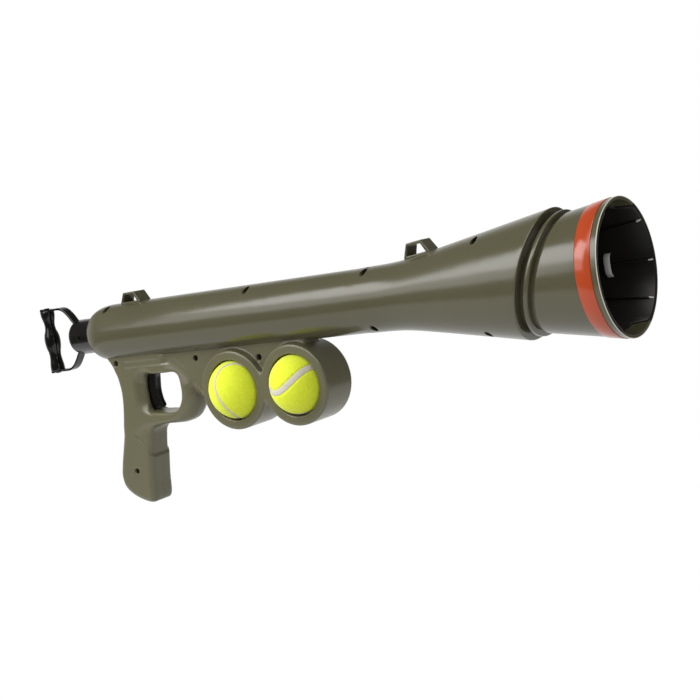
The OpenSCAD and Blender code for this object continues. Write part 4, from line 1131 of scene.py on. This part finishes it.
def soft_step(value, low, high):
    """Goes softly from 0 to 1 while value goes from low to high."""
    span = {"Value": value, "From Min": low, "From Max": high, "To Min": 0.0, "To Max": 1.0}
    return room.node("ShaderNodeMapRange", {"interpolation_type": "SMOOTHSTEP"}, span)


mirrored = ray_kind(room, "Is Glossy Ray")
ceiling = soft_step(above - beyond + ahead * 0.5, 0.8, 1.1) * soft_step(above, 0.45, 0.7) * CEILING
rear_wall = soft_step(ahead * -1, 0.86, 0.97) * REAR_WALL
level = mirrored * (ceiling + rear_wall + GLOOM) + (1 - mirrored) * (FILL - ahead * FILL_FALL)
studio = room.node("ShaderNodeBackground", None, {"Color": WHITE, "Strength": level})
sweep = room.node("ShaderNodeBackground", None, {"Color": WHITE, "Strength": 1.0})
white_beyond = mirrored * soft_step(beyond * 0.95 - ahead * 0.5, 0.7, 1.12)
seen = ray_kind(room, "Is Camera Ray", "Is Transmission Ray") + white_beyond
mixed = room.node("ShaderNodeMixShader", None, {0: seen, 1: studio, 2: sweep})
room.feed(room.tree.nodes["World Output"], {"Surface": mixed})
bpy.context.scene.view_settings.view_transform = "Standard"
print("world:", len(room.tree.nodes), "nodes")

# %% [markdown]
# ## Lights
# A tall softbox, well to the left of the camera, makes the long highlight on the tube and the square
# one on the band. In the photograph that highlight is crisp above and fades below, so the box is made
# of two: a bright upper one and a weaker lower one. A small box in front lights the muzzle's inside.

# %% Lights
BOX_SPOT, BOX_AIM, BOX_WIDTH = (-948, -699), (-277, -263), 540
KEY_Z, KEY_HEIGHT, LOW_Z, LOW_HEIGHT = 770, 660, 290, 300
MUZZLE_SPOT, MUZZLE_AIM, MUZZLE_BOX = (1150, -650, 120), (-40, 0, 0), 300


def softbox(name, place, aim, width, height, power):
    data = bpy.data.lights.new(name, "AREA")
    data.shape, data.size, data.size_y, data.energy = "RECTANGLE", width * MM, height * MM, power
    lamp = bpy.data.objects.new(name, data)
    bpy.context.collection.objects.link(lamp)
    facing = (Vector(place) - Vector(aim)).normalized().to_track_quat("Z", "Y")
    lamp.matrix_world = Matrix.Translation(Vector(place) * MM) @ facing.to_matrix().to_4x4()
    lamp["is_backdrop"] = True
    return lamp


softbox("key_softbox", (*BOX_SPOT, KEY_Z), (*BOX_AIM, KEY_Z), BOX_WIDTH, KEY_HEIGHT, power=6.6)
softbox("low_softbox", (*BOX_SPOT, LOW_Z), (*BOX_AIM, LOW_Z), BOX_WIDTH, LOW_HEIGHT, power=1.2)
muzzle_box = softbox("muzzle_softbox", MUZZLE_SPOT, MUZZLE_AIM, MUZZLE_BOX, MUZZLE_BOX, power=0.8)
muzzle_box.visible_camera = False

sizes = {"cad": [list(c) for c in cad_bounds], "dressed": [list(c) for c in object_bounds()]}
for label, (low, high) in sizes.items():
    print(label, [round((b - a) / MM, 1) for a, b in zip(low, high)], "mm")
